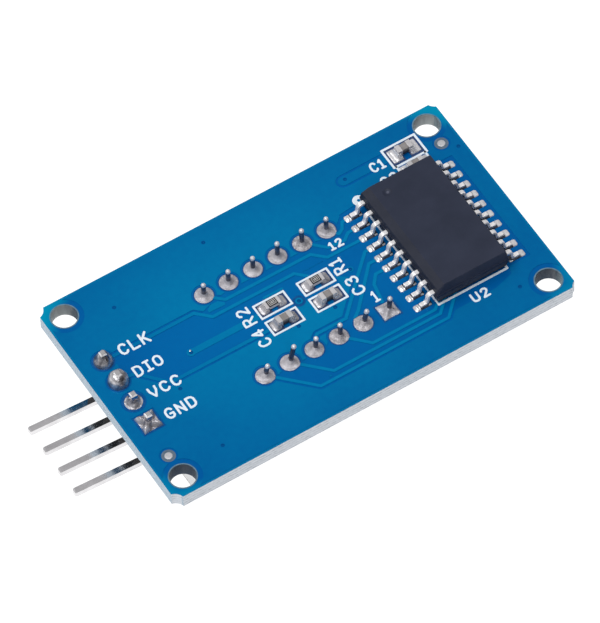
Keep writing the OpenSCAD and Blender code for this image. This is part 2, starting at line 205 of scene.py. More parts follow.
def mat_board():
    """The bare board: mask on its two faces, deep blue inside and teal painted at its thin corners as light coming
    through there, more strongly towards +Y; raw laminate on its sides and in its holes.
    """
    m, nt, sh, vec = start("board_laminate_and_mask")
    ab = nt.nodes.new("ShaderNodeVectorMath")
    ab.operation = "ABSOLUTE"
    nt.links.new(vec, ab.inputs[0])
    sep = nt.nodes.new("ShaderNodeSeparateXYZ")
    nt.links.new(ab.outputs[0], sep.inputs[0])
    raw_xyz = nt.nodes.new("ShaderNodeSeparateXYZ")
    nt.links.new(vec, raw_xyz.inputs[0])
    dx = math_node(nt, "SUBTRACT", BOARD_L / 2 * MM, sep.outputs[0])
    dy = math_node(nt, "SUBTRACT", BOARD_W / 2 * MM, sep.outputs[1])
    rim = math_node(nt, "MINIMUM", dx, dy)
    near = map_range(nt, rim, 0.0001, 0.0009, 1.0, 0.0, True)
    both = math_node(nt, "ADD", dx, dy)
    # painted light: the mask turns teal at the corners as if light came through the board there, more strongly towards
    # +Y
    corner = map_range(nt, both, 0.0010, 0.0041, 1.0, 0.0, True)
    bright = map_range(nt, raw_xyz.outputs[1], -0.010, 0.010, 0.32, 0.80)
    corner = math_node(nt, "MULTIPLY", corner, bright)
    face = mask_tone(nt, vec, ROYAL, (0.0, 0.124, 0.368))
    face = mix_col(nt, near, face, (0.0, 0.150, 0.345))
    mask = mix_col(nt, corner, face, TEAL)
    # painted shade: the mask on the underside is darkened as if in shadow
    under = math_node(nt, "LESS_THAN", raw_xyz.outputs[2], -0.75 * MM)
    mask = mix_col(nt, under, mask, (0.006, 0.066, 0.155))
    # raw edge: pale glass-epoxy with darker specks and faint layers
    stretch = nt.nodes.new("ShaderNodeMapping")
    stretch.inputs["Scale"].default_value = (1.0, 1.0, 3.0)
    nt.links.new(vec, stretch.inputs["Vector"])
    fleck = tex_noise(nt, stretch.outputs[0], 2600.0, 4.0, 0.7)
    layer = nt.nodes.new("ShaderNodeTexWave")
    layer.bands_direction = "Z"
    layer.inputs["Scale"].default_value = 900.0
    layer.inputs["Distortion"].default_value = 2.5
    layer.inputs["Detail"].default_value = 2.0
    nt.links.new(vec, layer.inputs["Vector"])
    raw = ramp(nt, math_node(nt, "MULTIPLY_ADD", layer.outputs["Fac"], 0.18, math_node(nt, "MULTIPLY", fleck, 0.9)),
               [(0.30, (0.32, 0.345, 0.37)), (0.46, (0.54, 0.575, 0.61)), (0.75, (0.66, 0.695, 0.73))])
    # hole walls: painted shade, dark on the inner side, and painted light, paler where little board is left beyond them
    off = nt.nodes.new("ShaderNodeVectorMath")
    off.operation = "SUBTRACT"
    off.inputs[1].default_value = (18.85 * MM, 9.95 * MM, 0.0)
    nt.links.new(ab.outputs[0], off.inputs[0])
    flat = nt.nodes.new("ShaderNodeVectorMath")
    flat.operation = "MULTIPLY"
    flat.inputs[1].default_value = (1.0, 1.0, 0.0)
    nt.links.new(off.outputs[0], flat.inputs[0])
    ln = nt.nodes.new("ShaderNodeVectorMath")
    ln.operation = "LENGTH"
    nt.links.new(flat.outputs[0], ln.inputs[0])
    in_hole = math_node(nt, "LESS_THAN", ln.outputs["Value"], 1.36 * MM)
    osep = nt.nodes.new("ShaderNodeSeparateXYZ")
    nt.links.new(off.outputs[0], osep.inputs[0])
    outward = map_range(nt, math_node(nt, "ADD", osep.outputs[1], math_node(nt, "MULTIPLY", osep.outputs[0], 0.45)), -1.0 * MM, 1.3 * MM, 0.0, 0.62)
    streak = nt.nodes.new("ShaderNodeMapping")
    streak.inputs["Scale"].default_value = (1.0, 1.0, 0.25)
    nt.links.new(vec, streak.inputs["Vector"])
    wall_f = math_node(nt, "MULTIPLY_ADD", tex_noise(nt, streak.outputs[0], 1500.0, 3.0, 0.6), 0.55, outward)
    wall = ramp(nt, wall_f, [(0.20, (0.028, 0.034, 0.052)), (0.42, (0.070, 0.073, 0.085)), (0.66, (0.22, 0.235, 0.235)), (0.95, (0.40, 0.43, 0.42))])
    side = mix_col(nt, in_hole, raw, wall)
    geo = nt.nodes.new("ShaderNodeNewGeometry")
    nz = nt.nodes.new("ShaderNodeSeparateXYZ")
    nt.links.new(geo.outputs["Normal"], nz.inputs[0])
    # painted light and shade: raw sides facing -X are lightened, all other raw sides are darkened and tinted blue
    left = math_node(nt, "LESS_THAN", nz.outputs[0], -0.9)
    painted_side_light = nt.nodes.new("ShaderNodeVectorMath")
    painted_side_light.operation = "MULTIPLY"
    nt.links.new(side, painted_side_light.inputs[0])
    nt.links.new(mix_col(nt, left, (1.12, 1.10, 1.10), (0.80, 0.89, 0.95)), painted_side_light.inputs[1])
    side = painted_side_light.outputs[0]
    facing = math_node(nt, "GREATER_THAN", math_node(nt, "ABSOLUTE", nz.outputs[2]), 0.7)
    nt.links.new(mix_col(nt, facing, side, mask), sh.inputs["Base Color"])
    nt.links.new(map_range(nt, facing, 0.0, 1.0, 0.62, 0.18), sh.inputs["Roughness"])
    mask_gloss(sh)
    grit = tex_noise(nt, stretch.outputs[0], 4200.0, 4.0, 0.7)
    rough_only = math_node(nt, "MULTIPLY", grit, math_node(nt, "SUBTRACT", 1.0, facing))
    bump(nt, [(rough_only, 0.55, 0.00006), (tex_noise(nt, vec, 600.0, 2.0), 0.08, 0.00002)], sh)
    return m


def mat_resistor():
    """White ceramic with dark glaze on top."""
    m, nt, sh, vec = start("resistor_body")
    xyz = nt.nodes.new("ShaderNodeSeparateXYZ")
    nt.links.new(vec, xyz.inputs[0])
    top = math_node(nt, "GREATER_THAN", xyz.outputs[2], 0.455 * MM)
    n = tex_noise(nt, vec, 1800.0, 3.0)
    base = mix_col(nt, top, ramp(nt, n, [(0.3, (0.66, 0.645, 0.64)), (0.7, (0.80, 0.785, 0.78))]), ramp(nt, n, [(0.3, (0.008, 0.008, 0.010)), (0.7, (0.018, 0.017, 0.020))]))
    nt.links.new(base, sh.inputs["Base Color"])
    nt.links.new(map_range(nt, top, 0.0, 1.0, 0.6, 0.4), sh.inputs["Roughness"])
    bump(nt, [(tex_noise(nt, vec, 7000.0, 2.0), 0.15, 0.00001)], sh)
    return m


def mat_capacitor():
    """Brown-grey ceramic, with painted shade darkening it towards its foot."""
    m, nt, sh, vec = start("capacitor_ceramic")
    xyz = nt.nodes.new("ShaderNodeSeparateXYZ")
    nt.links.new(vec, xyz.inputs[0])
    n = tex_noise(nt, vec, 1800.0, 4.0)
    unshaded_tone = ramp(nt, n, [(0.3, (0.20, 0.185, 0.18)), (0.7, (0.28, 0.262, 0.255))])
    # painted shade: the ceramic darkens towards its foot
    low = map_range(nt, xyz.outputs[2], 0.30 * MM, 0.80 * MM, 1.0, 0.0, True)
    nt.links.new(mix_col(nt, low, unshaded_tone, (0.035, 0.035, 0.042)), sh.inputs["Base Color"])
    nt.links.new(map_range(nt, n, 0.3, 0.7, 0.5, 0.62), sh.inputs["Roughness"])
    sh.inputs["Specular IOR Level"].default_value = 0.35
    bump(nt, [(tex_noise(nt, vec, 7000.0, 3.0), 0.3, 0.00002)], sh)
    return m


def metal(name, dark, light, rough, scale=900.0, bump_amt=(2500.0, 0.2, 0.00002), drawn=None):
    m, nt, sh, vec = start(name)
    n1 = tex_noise(nt, vec, scale, 4.0, 0.6)
    nt.links.new(ramp(nt, n1, [(0.3, dark), (0.66, light)]), sh.inputs["Base Color"])
    nt.links.new(map_range(nt, tex_noise(nt, vec, scale * 1.7, 3.0), 0.3, 0.7, rough[0], rough[1]), sh.inputs["Roughness"])
    sh.inputs["Metallic"].default_value = 1.0
    hs = [(tex_noise(nt, vec, bump_amt[0], 3.0), bump_amt[1], bump_amt[2])]
    if drawn is not None:
        mp = nt.nodes.new("ShaderNodeMapping")
        mp.inputs["Scale"].default_value = drawn
        nt.links.new(vec, mp.inputs["Vector"])
        hs.append((tex_noise(nt, mp.outputs[0], 3000.0, 2.0), 0.12, 0.00001))
    bump(nt, hs, sh)
    return m


def tin(name, dark, light, rough, mix=0.62, grain=(2600.0, 0.15, 0.00002)):
    """Matt tin plating: half mirror, half pale powder."""
    m = metal(name, dark, light, rough, bump_amt=grain)
    m.node_tree.nodes["Principled BSDF"].inputs["Metallic"].default_value = mix
    return m


def mat_joint():
    """Dull, slightly crusted solder of the display joints; two of them are darker with flux."""
    m, nt, sh, vec = start("solder_metal")
    f = math_node(nt, "MULTIPLY_ADD", tex_noise(nt, vec, 2300.0, 4.0, 0.65), 0.6, math_node(nt, "MULTIPLY", tex_noise(nt, vec, 520.0, 2.0), 0.4))
    col = ramp(nt, f, [(0.34, (0.21, 0.20, 0.22)), (0.45, (0.39, 0.378, 0.405)), (0.63, (0.52, 0.505, 0.535))])
    flux = None
    for x, y, r, amount in ((PIN_X[4], ROW_Y[0], 0.8, 0.55), (PIN_X[3], ROW_Y[1], 0.7, 0.50), (PIN_X[4], ROW_Y[1], 0.6, 0.40)):
        off = nt.nodes.new("ShaderNodeVectorMath")
        off.operation = "DISTANCE"
        nt.links.new(vec, off.inputs[0])
        off.inputs[1].default_value = (x * MM, y * MM, 0.25 * MM)
        spot = map_range(nt, off.outputs["Value"], r * MM, (r + 0.5) * MM, amount, 0.0, True)
        flux = spot if flux is None else math_node(nt, "MAXIMUM", flux, spot)
    speck = ramp(nt, tex_noise(nt, vec, 4200.0, 3.0, 0.7), [(0.40, (0.17, 0.155, 0.16)), (0.56, (0.52, 0.49, 0.50))])
    nt.links.new(mix_col(nt, flux, col, speck), sh.inputs["Base Color"])
    nt.links.new(map_range(nt, f, 0.3, 0.7, 0.60, 0.46), sh.inputs["Roughness"])
    sh.inputs["Metallic"].default_value = 0.42
    bump(nt, [(tex_noise(nt, vec, 1900.0, 3.0, 0.6), 0.55, 0.00006), (tex_noise(nt, vec, 6500.0, 2.0), 0.4, 0.00002)], sh)
    return m


def mat_moulding():
    """Moulding compound of the driver: matt, with painted shade making its sloping sides a touch darker, and in the
    round dimple a painted glint ringed by painted shade.
    """
    m = simple("chip_moulding_compound", (0.0125, 0.0178, 0.0385), (0.0190, 0.0252, 0.0500), (0.50, 0.60), scale=380.0, grain=(9000.0, 0.30, 0.000012), spec=0.28)
    nt, sh = m.node_tree, m.node_tree.nodes["Principled BSDF"]
    old = sh.inputs["Base Color"].links[0].from_socket
    geo = nt.nodes.new("ShaderNodeNewGeometry")
    nrm = nt.nodes.new("ShaderNodeSeparateXYZ")
    nt.links.new(geo.outputs["Normal"], nrm.inputs[0])
    # painted shade: the sloping sides are darkened
    slope = map_range(nt, math_node(nt, "ABSOLUTE", nrm.outputs[0]), 0.20, 0.45, 1.0, 0.66, True)
    dim = nt.nodes.new("ShaderNodeVectorMath")
    dim.operation = "SCALE"
    far = nt.nodes.new("ShaderNodeVectorMath")
    far.operation = "DISTANCE"
    tc = nt.nodes.new("ShaderNodeTexCoord")
    nt.links.new(tc.outputs["Object"], far.inputs[0])
    # painted highlight in the middle of the dimple, ringed by painted shade
    far.inputs[1].default_value = (11.22 * MM, 4.33 * MM, 2.32 * MM)
    glint = map_range(nt, far.outputs["Value"], 0.07 * MM, 0.20 * MM, 1.0, 0.0, True)
    rim = map_range(nt, math_node(nt, "ABSOLUTE", math_node(nt, "SUBTRACT", far.outputs["Value"], 0.34 * MM)), 0.02 * MM, 0.12 * MM, -0.16, 0.0, True)
    nt.links.new(old, dim.inputs[0])
    nt.links.new(math_node(nt, "MULTIPLY", slope, math_node(nt, "ADD", 1.0, rim)), dim.inputs["Scale"])
    nt.links.new(mix_col(nt, glint, dim.outputs[0], (0.080, 0.086, 0.125)), sh.inputs["Base Color"])
    return m


def mat_round_pin():
    """Display pins: painted light at the tip, where it was cut, and painted shade down the shank."""
    m, nt, sh, vec = start("display_pin_metal")
    xyz = nt.nodes.new("ShaderNodeSeparateXYZ")
    nt.links.new(vec, xyz.inputs[0])
    n = tex_noise(nt, vec, 1500.0, 3.0)
    # the pins end at slightly different heights: a stepped ramp per row holds them
    step = math_node(nt, "ROUND", math_node(nt, "DIVIDE", math_node(nt, "SUBTRACT", xyz.outputs[0], PIN_X[0] * MM), 2.54 * MM))
    place = math_node(nt, "DIVIDE", math_node(nt, "ADD", step, 0.5), 6.0)
    rows = []
    for tops in (PIN_TOPS[1], PIN_TOPS[0]):
        r = nt.nodes.new("ShaderNodeValToRGB")
        r.color_ramp.interpolation = "CONSTANT"
        while len(r.color_ramp.elements) < 6:
            r.color_ramp.elements.new(0.5)
        for i, el in enumerate(r.color_ramp.elements):
            el.position = i / 6
            el.color = (tops[i] / 2.5,) * 3 + (1.0,)
        nt.links.new(place, r.inputs["Fac"])
        rows.append(r.outputs["Color"])
    is_upper = math_node(nt, "GREATER_THAN", xyz.outputs[1], 0.1 * MM)
    top = math_node(nt, "MULTIPLY", mix_col(nt, is_upper, rows[0], rows[1]), 2.5 * MM)
    below = math_node(nt, "SUBTRACT", math_node(nt, "MULTIPLY_ADD", n, 0.14 * MM, xyz.outputs[2]), top)
    up = map_range(nt, below, -0.30 * MM, -0.18 * MM, 0.0, 1.0, True)
    # painted shade on the shank and painted light on the tip
    shank = ramp(nt, n, [(0.3, (0.075, 0.080, 0.105)), (0.7, (0.21, 0.215, 0.25))])
    tip = ramp(nt, n, [(0.3, (0.60, 0.60, 0.63)), (0.7, (0.78, 0.78, 0.81))])
    nt.links.new(mix_col(nt, up, shank, tip), sh.inputs["Base Color"])
    nt.links.new(map_range(nt, up, 0.0, 1.0, 0.30, 0.42), sh.inputs["Roughness"])
    nt.links.new(map_range(nt, up, 0.0, 1.0, 0.9, 0.45), sh.inputs["Metallic"])
    bump(nt, [(tex_noise(nt, vec, 2400.0, 2.0), 0.2, 0.00002)], sh)
    return m


def mat_lead_solder():
    """Solder on the driver's pads: painted highlight at the toe, painted shade in the groove and beside the foot, and a
    painted glint at the heel.
    """
    m, nt, sh, vec = start("driver_solder_metal")
    xyz = nt.nodes.new("ShaderNodeSeparateXYZ")
    nt.links.new(vec, xyz.inputs[0])
    u = math_node(nt, "ABSOLUTE", math_node(nt, "SUBTRACT", xyz.outputs[0], IC_X * MM))
    step = math_node(nt, "DIVIDE", math_node(nt, "SUBTRACT", xyz.outputs[1], LEAD_Y[0] * MM), 1.27 * MM)
    v = math_node(nt, "MULTIPLY", math_node(nt, "SUBTRACT", step, math_node(nt, "ROUND", step)), 1.27 * MM)
    n = tex_noise(nt, vec, 1900.0, 3.0, 0.6)
    edge = math_node(nt, "MULTIPLY_ADD", n, 0.16 * MM, u)
    # painted light and shade: a painted highlight on the toe, a painted glint at the heel, painted shade on the rest of
    # the pad
    toe = map_range(nt, edge, 5.27 * MM, 5.34 * MM, 0.0, 1.0, True)
    heel_u = map_range(nt, math_node(nt, "ABSOLUTE", math_node(nt, "SUBTRACT", edge, 4.30 * MM)), 0.10 * MM, 0.20 * MM, 1.0, 0.0, True)
    heel_v = map_range(nt, math_node(nt, "ABSOLUTE", math_node(nt, "ADD", v, 0.24 * MM)), 0.05 * MM, 0.11 * MM, 1.0, 0.0, True)
    heel_glint = math_node(nt, "MULTIPLY", heel_u, heel_v)
    dark = ramp(nt, n, [(0.35, (0.022, 0.030, 0.048)), (0.65, (0.075, 0.085, 0.110))])
    pale = ramp(nt, tex_noise(nt, vec, 900.0, 3.0), [(0.3, (0.66, 0.65, 0.66)), (0.7, (0.86, 0.85, 0.86))])
    lit = math_node(nt, "MAXIMUM", toe, heel_glint)
    nt.links.new(mix_col(nt, lit, dark, pale), sh.inputs["Base Color"])
    nt.links.new(map_range(nt, n, 0.3, 0.7, 0.26, 0.38), sh.inputs["Roughness"])
    nt.links.new(map_range(nt, lit, 0.0, 1.0, 0.3, 0.55), sh.inputs["Metallic"])
    sh.inputs["Specular IOR Level"].default_value = 0.3
    bump(nt, [(tex_noise(nt, vec, 2300.0, 3.0), 0.3, 0.00003)], sh)
    return m


def mat_header_joint():
    """Header joints: the two towards +Y are smooth and mirror-like, the other two duller."""
    m, nt, sh, vec = start("header_solder_metal")
    xyz = nt.nodes.new("ShaderNodeSeparateXYZ")
    nt.links.new(vec, xyz.inputs[0])
    smooth = math_node(nt, "GREATER_THAN", xyz.outputs[1], 0.2 * MM)
    f = tex_noise(nt, vec, 900.0, 4.0, 0.6)
    dull = ramp(nt, f, [(0.34, (0.21, 0.20, 0.22)), (0.50, (0.41, 0.40, 0.425)), (0.64, (0.62, 0.605, 0.63))])
    shiny = ramp(nt, f, [(0.34, (0.13, 0.125, 0.14)), (0.50, (0.41, 0.405, 0.42)), (0.62, (0.70, 0.69, 0.71))])
    nt.links.new(mix_col(nt, smooth, dull, shiny), sh.inputs["Base Color"])
    wander = map_range(nt, tex_noise(nt, vec, 1500.0, 3.0), 0.3, 0.7, 0.0, 0.12)
    nt.links.new(math_node(nt, "ADD", wander, map_range(nt, smooth, 0.0, 1.0, 0.36, 0.24)), sh.inputs["Roughness"])
    nt.links.new(map_range(nt, smooth, 0.0, 1.0, 0.70, 0.84), sh.inputs["Metallic"])
    bump(nt, [(tex_noise(nt, vec, 1700.0, 3.0), 0.4, 0.00006)], sh)
    return m


def under_mask(name, dark, light):
    """Bare or thinly coated laminate close to the blue mask: hardly any gloss of its own, and that blue."""
    m = simple(name, dark, light, (0.4, 0.5), scale=2500.0, grain=(5000.0, 0.3, 0.00002), spec=0.2)
    m.node_tree.nodes["Principled BSDF"].inputs["Specular Tint"].default_value = (0.05, 0.30, 0.80, 1.0)
    return m


M = {
    "mask_copper": mat_mask_copper(),
    "board": mat_board(),
    "opening": under_mask("bare_ring_laminate_dark", (0.022, 0.046, 0.125), (0.042, 0.068, 0.160)),
    "gap": under_mask("pad_gap_laminate", (0.003, 0.066, 0.225), (0.010, 0.094, 0.285)),
    "print": simple("white_print_ink", (0.72, 0.80, 0.87), (0.80, 0.87, 0.93), (0.45, 0.6), scale=1200.0, grain=(5000.0, 0.25, 0.00002), spec=0.2),
    "chip_moulding": mat_moulding(),
    "lead": tin("tinned_lead_metal", (0.78, 0.765, 0.765), (0.90, 0.885, 0.885), (0.36, 0.48), 0.45),
    "pin": metal("tinned_pin_metal", (0.62, 0.61, 0.62), (0.78, 0.77, 0.78), (0.12, 0.20), bump_amt=(1200.0, 0.06, 0.00002), drawn=(0.15, 1.0, 1.0)),
    "round_pin": mat_round_pin(),
    "solder_lead": mat_lead_solder(),
    "solder_chip": tin("chip_solder_metal", (0.22, 0.215, 0.235), (0.66, 0.645, 0.665), (0.24, 0.36), 0.66, (1900.0, 0.4, 0.00005)),
    "mark_ink": simple("resistor_mark_ink", (0.46, 0.45, 0.44), (0.56, 0.55, 0.54), (0.45, 0.6), scale=1200.0, grain=(5000.0, 0.25, 0.00002), spec=0.2),
    "solder": mat_joint(),
    "solder_header": mat_header_joint(),
    "solder_pad": tin("pad_solder_metal", (0.56, 0.55, 0.57), (0.82, 0.81, 0.825), (0.24, 0.34), 0.58),
    "solder_bright": metal("solder_bright_metal", (0.66, 0.64, 0.65), (0.90, 0.88, 0.885), (0.13, 0.22), scale=1100.0, bump_amt=(1300.0, 0.25, 0.00004)),
    "end_cap": tin("end_cap_metal", (0.50, 0.485, 0.495), (0.66, 0.645, 0.655), (0.36, 0.48), 0.6),
    "ceramic": mat_capacitor(),
    "resistor": mat_resistor(),
    "header_plastic": simple("header_plastic", (0.008, 0.008, 0.009), (0.016, 0.016, 0.017), (0.38, 0.5), scale=500.0, grain=(5000.0, 0.2, 0.00002)),
    "shell": simple("display_shell", (0.80, 0.80, 0.80), (0.87, 0.87, 0.868), (0.38, 0.5), scale=300.0, grain=(6000.0, 0.2, 0.00002)),
    "face_film": simple("display_face_film", (0.012, 0.012, 0.014), (0.022, 0.022, 0.024), (0.42, 0.55), scale=300.0, grain=(6000.0, 0.25, 0.00002)),
    "milky": simple("milky_segment_epoxy", (0.74, 0.73, 0.69), (0.84, 0.83, 0.79), (0.3, 0.4), scale=400.0, grain=(1500.0, 0.06, 0.00002), sub=0.25),
    "bare_laminate": simple("inner_board_laminate", (0.42, 0.37, 0.20), (0.52, 0.47, 0.27), (0.5, 0.6), scale=900.0),
    "potting": simple("potting_epoxy", (0.60, 0.56, 0.42), (0.68, 0.64, 0.50), (0.2, 0.3), scale=300.0, grain=(900.0, 0.2, 0.00005)),
    "die": metal("light_die_metal", (0.55, 0.45, 0.16), (0.75, 0.62, 0.25), (0.2, 0.3)),
    "silicon": metal("silicon_die", (0.12, 0.12, 0.14), (0.2, 0.2, 0.23), (0.1, 0.2)),
    "copper": metal("copper_pad_metal", (0.55, 0.27, 0.15), (0.72, 0.38, 0.22), (0.3, 0.4)),
    "via": under_mask("via_under_mask", (0.0, 0.058, 0.205), (0.0, 0.075, 0.245)),
    "track_mask": under_mask("mask_over_track", (0.0, 0.176, 0.386), (0.0, 0.194, 0.402)),
    "clearance": under_mask("mask_in_clearance", (0.0, 0.093, 0.312), (0.0, 0.112, 0.350)),
    "ring_laminate": simple("bare_ring_laminate", (0.062, 0.104, 0.155), (0.112, 0.158, 0.210), (0.5, 0.65), scale=2500.0, grain=(6000.0, 0.3, 0.00002)),
    "fiducial": tin("fiducial_metal", (0.46, 0.465, 0.49), (0.58, 0.585, 0.61), (0.4, 0.5), 0.5),
    "rim": simple("pale_hole_rim", (0.060, 0.135, 0.195), (0.145, 0.255, 0.315), (0.4, 0.55), scale=1600.0, grain=(5000.0, 0.3, 0.00002)),
}


# ------------------------------------------------------------------ mesh helpers (coordinates in mm)
def add_mesh(name, verts, faces, mat, smooth=False, body="root", stands_for=()):
    me = bpy.data.meshes.new(name)
    me.from_pydata([(x * MM, y * MM, z * MM) for x, y, z in verts], [], faces)
    me.validate()
    me.update()
    if smooth:
        me.polygons.foreach_set("use_smooth", [True] * len(me.polygons))
    o = bpy.data.objects.new(name, me)
    scene.collection.objects.link(o)
    o.data.materials.append(mat)
    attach(o, body)
    if stands_for:
        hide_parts(*stands_for)
    return o


def ccw(p):
    a = sum(p[i][0] * p[(i + 1) % len(p)][1] - p[(i + 1) % len(p)][0] * p[i][1] for i in range(len(p)))
    return p if a > 0 else p[::-1]


def circle(c, r, n=32, a0=0.0):
    return [(c[0] + r * math.cos(a0 + 2 * math.pi * i / n), c[1] + r * math.sin(a0 + 2 * math.pi * i / n)) for i in range(n)]


def rect(x0, y0, x1, y1):
    return [(x0, y0), (x1, y0), (x1, y1), (x0, y1)]


def round_rect(x0, y0, x1, y1, r, n=5):
    out = []
    for cx, cy, a in ((x1 - r, y1 - r, 0), (x0 + r, y1 - r, 90), (x0 + r, y0 + r, 180), (x1 - r, y0 + r, 270)):
        for i in range(n + 1):
            t = math.radians(a + 90 * i / n)
            out.append((cx + r * math.cos(t), cy + r * math.sin(t)))
    return out


def ribbon(points, w, n=14):
    """Polygons that together cover a line of width w with round ends and joints."""
    out = []
    for a, b in zip(points, points[1:]):
        d = Vector((b[0] - a[0], b[1] - a[1]))
        if d.length < 1e-6:
            continue
        q = Vector((-d.y, d.x)).normalized() * w / 2
        out.append([(a[0] + q.x, a[1] + q.y), (a[0] - q.x, a[1] - q.y), (b[0] - q.x, b[1] - q.y), (b[0] + q.x, b[1] + q.y)])
    for p in points:
        out.append(circle(p, w / 2, n, 0.13))
    return out


def regions(polys):
    """Splits the plane by all polygons. Returns points, faces, and for each face the set of polygons it lies in."""
    co, faces = [], []
    for p in polys:
        p = ccw(p)
        b = len(co)
        co += [Vector(q) for q in p]
        faces.append(list(range(b, b + len(p))))
    vo, _, fo, _, _, of = delaunay_2d_cdt(co, [], faces, 1, 1e-5, True)
    return vo, fo, [set(x) for x in of]


def slab(layers, keep, z0, z1):
    """Closed slab between z0 and z1 over the parts of the plane where keep(names) is true. layers: list of (name, polygon)."""
    vo, fo, of = regions([p for _, p in layers])
    names = [n for n, _ in layers]
    chosen = [list(f) for f, ids in zip(fo, of) if keep({names[i] for i in ids})]
    used, verts = {}, []

    def at(i):
        if i not in used:
            used[i] = len(verts)
            verts.append((vo[i].x, vo[i].y, z1))
            verts.append((vo[i].x, vo[i].y, z0))
        return used[i]

    faces, directed = [], set()
    for f in chosen:
        t = [at(i) for i in f]
        a = sum(verts[t[k]][0] * verts[t[(k + 1) % len(t)]][1] - verts[t[(k + 1) % len(t)]][0] * verts[t[k]][1] for k in range(len(t)))
        if a < 0:
            t = t[::-1]
        faces.append(t)
        faces.append([k + 1 for k in reversed(t)])
        for k in range(len(t)):
            directed.add((t[k], t[(k + 1) % len(t)]))
    for a, b in list(directed):
        if (b, a) not in directed:
            faces.append([a + 1, b + 1, b, a])
    return verts, faces


def merge(parts):
    verts, faces = [], []
    for v, f in parts:
        b = len(verts)
        verts += v
        faces += [[i + b for i in q] for q in f]
    return verts, faces


# ------------------------------------------------------------------ copper pattern under the mask
TRACES = [
    [(-17.7, 4.02), (-9.15, 4.02), (-7.95, 2.8), (0.45, 2.8), (1.35, 1.9)],
    [(-7.39, 5.18), (-6.75, 4.4), (-6.05, 3.75), (2.75, 3.75), (3.85, 2.68), (7.3, 2.66)],
    [(2.77, 5.18), (3.45, 4.55), (4.45, 3.55), (6.1, 3.4), (6.75, 3.93), (7.3, 3.93)],
    [(5.31, 5.18), (6.05, 4.25), (6.55, 4.55), (6.95, 5.2), (7.4, 5.2)],
    [(-18.43, 1.48), (-17.1, 1.45), (-16.75, 1.35), (-14.95, -0.75), (-14.6, -1.1), (-4.3, -1.1)],
    [(-6.6, -5.72), (-3.85, -8.55), (9.35, -8.55), (11.3, -6.6)],
    [(-4.1, -5.7), (-2.05, -7.8), (8.95, -7.8), (10.3, -6.5)],
    [(0.85, -5.62), (2.35, -7.2), (8.8, -7.2), (9.6, -6.5)],
    [(-1.9, -4.25), (-1.25, -3.72), (1.75, -3.72), (5.05, -0.42), (6.95, 1.39), (7.3, 1.39)],
    [(2.45, -4.1), (3.1, -3.6), (6.55, 0.12), (7.3, 0.12)],
    [(5.31, -4.2), (5.75, -2.0), (6.45, -1.15), (7.3, -1.15)],
    [(16.6, 2.66), (17.4, 2.66)],
]
WIDE = [
    ([(-11.55, 0.61), (-4.0, 0.61)], 0.64),
    ([(-3.1, 2.02), (-1.3, 2.02)], 0.30),
    ([(9.35, 8.85), (14.6, 8.85)], 0.92),
]
NO_COPPER = [
    [(-17.6, 3.75), (-9.1, 3.8), (-7.85, 2.55), (-4.4, 2.55), (-4.4, -0.86), (-14.55, -0.86), (-15.1, -0.2), (-16.4, 1.35), (-17.15, 1.75), (-17.6, 2.5)],
    [(-7.75, 3.95), (-6.4, 4.3), (-5.6, 4.45), (2.0, 4.45), (2.7, 4.1), (3.3, 4.9), (4.2, 4.6), (5.2, 4.2), (7.2, 5.9), (7.2, -6.9), (-2.4, -7.9), (-2.9, -8.3), (-4.0, -8.3),
     (-6.55, -5.75), (-6.1, -5.4), (-1.4, -5.4), (0.3, -3.98), (1.65, -3.98), (4.95, -0.62), (3.35, 0.6), (3.3, 2.55), (-7.6, 2.75), (-8.7, 3.6)],
    [(-4.7, -0.86), (-4.4, -0.28), (3.35, -0.28), (3.35, 2.55), (-4.7, 2.55)],
    [(-2.5, -7.9), (7.0, -6.7), (16.75, -6.7), (16.5, -7.6), (14.6, -8.15), (10.2, -8.2), (9.3, -8.35), (-2.5, -8.35)],
    [(7.1, -6.85), (18.98, -6.85), (18.98, 6.0), (9.2, 6.15), (7.1, 5.95)],
]
ISLANDS = [[(-7.95, 3.35), (-6.35, 3.3), (-6.25, 3.55), (-6.75, 3.98), (-7.5, 4.0), (-8.0, 3.6)]]
VIAS = [(-4.5, 10.0), (-14.7, 8.35), (-14.3, -2.1), (-14.3, -9.15), (16.35, -9.2), (20.0, 6.5), (-2.15, -2.15), (1.6, -2.2), (9.62, 8.95), (-0.72, 0.1), (4.85, 0.5), (-11.52, 0.62)]
FIDUCIALS = [(-18.8, -7.5), (18.9, 7.6)]
PAD_RECTS = []  # x0, y0, x1, y1 of every surface pad
for n in range(10):
    for s in (-1, 1):
        a, b = sorted((IC_X + s * 3.85, IC_X + s * 5.72))
        PAD_RECTS.append((a, LEAD_Y[n] - 0.38, b, LEAD_Y[n] + 0.38))
BOXES = [(-4.53, 0.11, -1.26, 1.84), (-4.53, -1.94, -1.26, -0.20), (-0.02, 0.11, 3.21, 1.84), (-0.02, -1.94, 3.21, -0.20), (13.84, 7.48, 17.47, 9.86)]
CHIP_PADS = {}
for key, (cx, cy) in CHIPS.items():
    big = key in ("c1", "c2")
    gap, ln, w = (0.8, 1.05, 1.5) if big else (0.8, 0.92, 1.16)
    CHIP_PADS[key] = [(cx - gap / 2 - ln, cy - w / 2, cx - gap / 2, cy + w / 2), (cx + gap / 2, cy - w / 2, cx + gap / 2 + ln, cy + w / 2)]
    PAD_RECTS += CHIP_PADS[key]

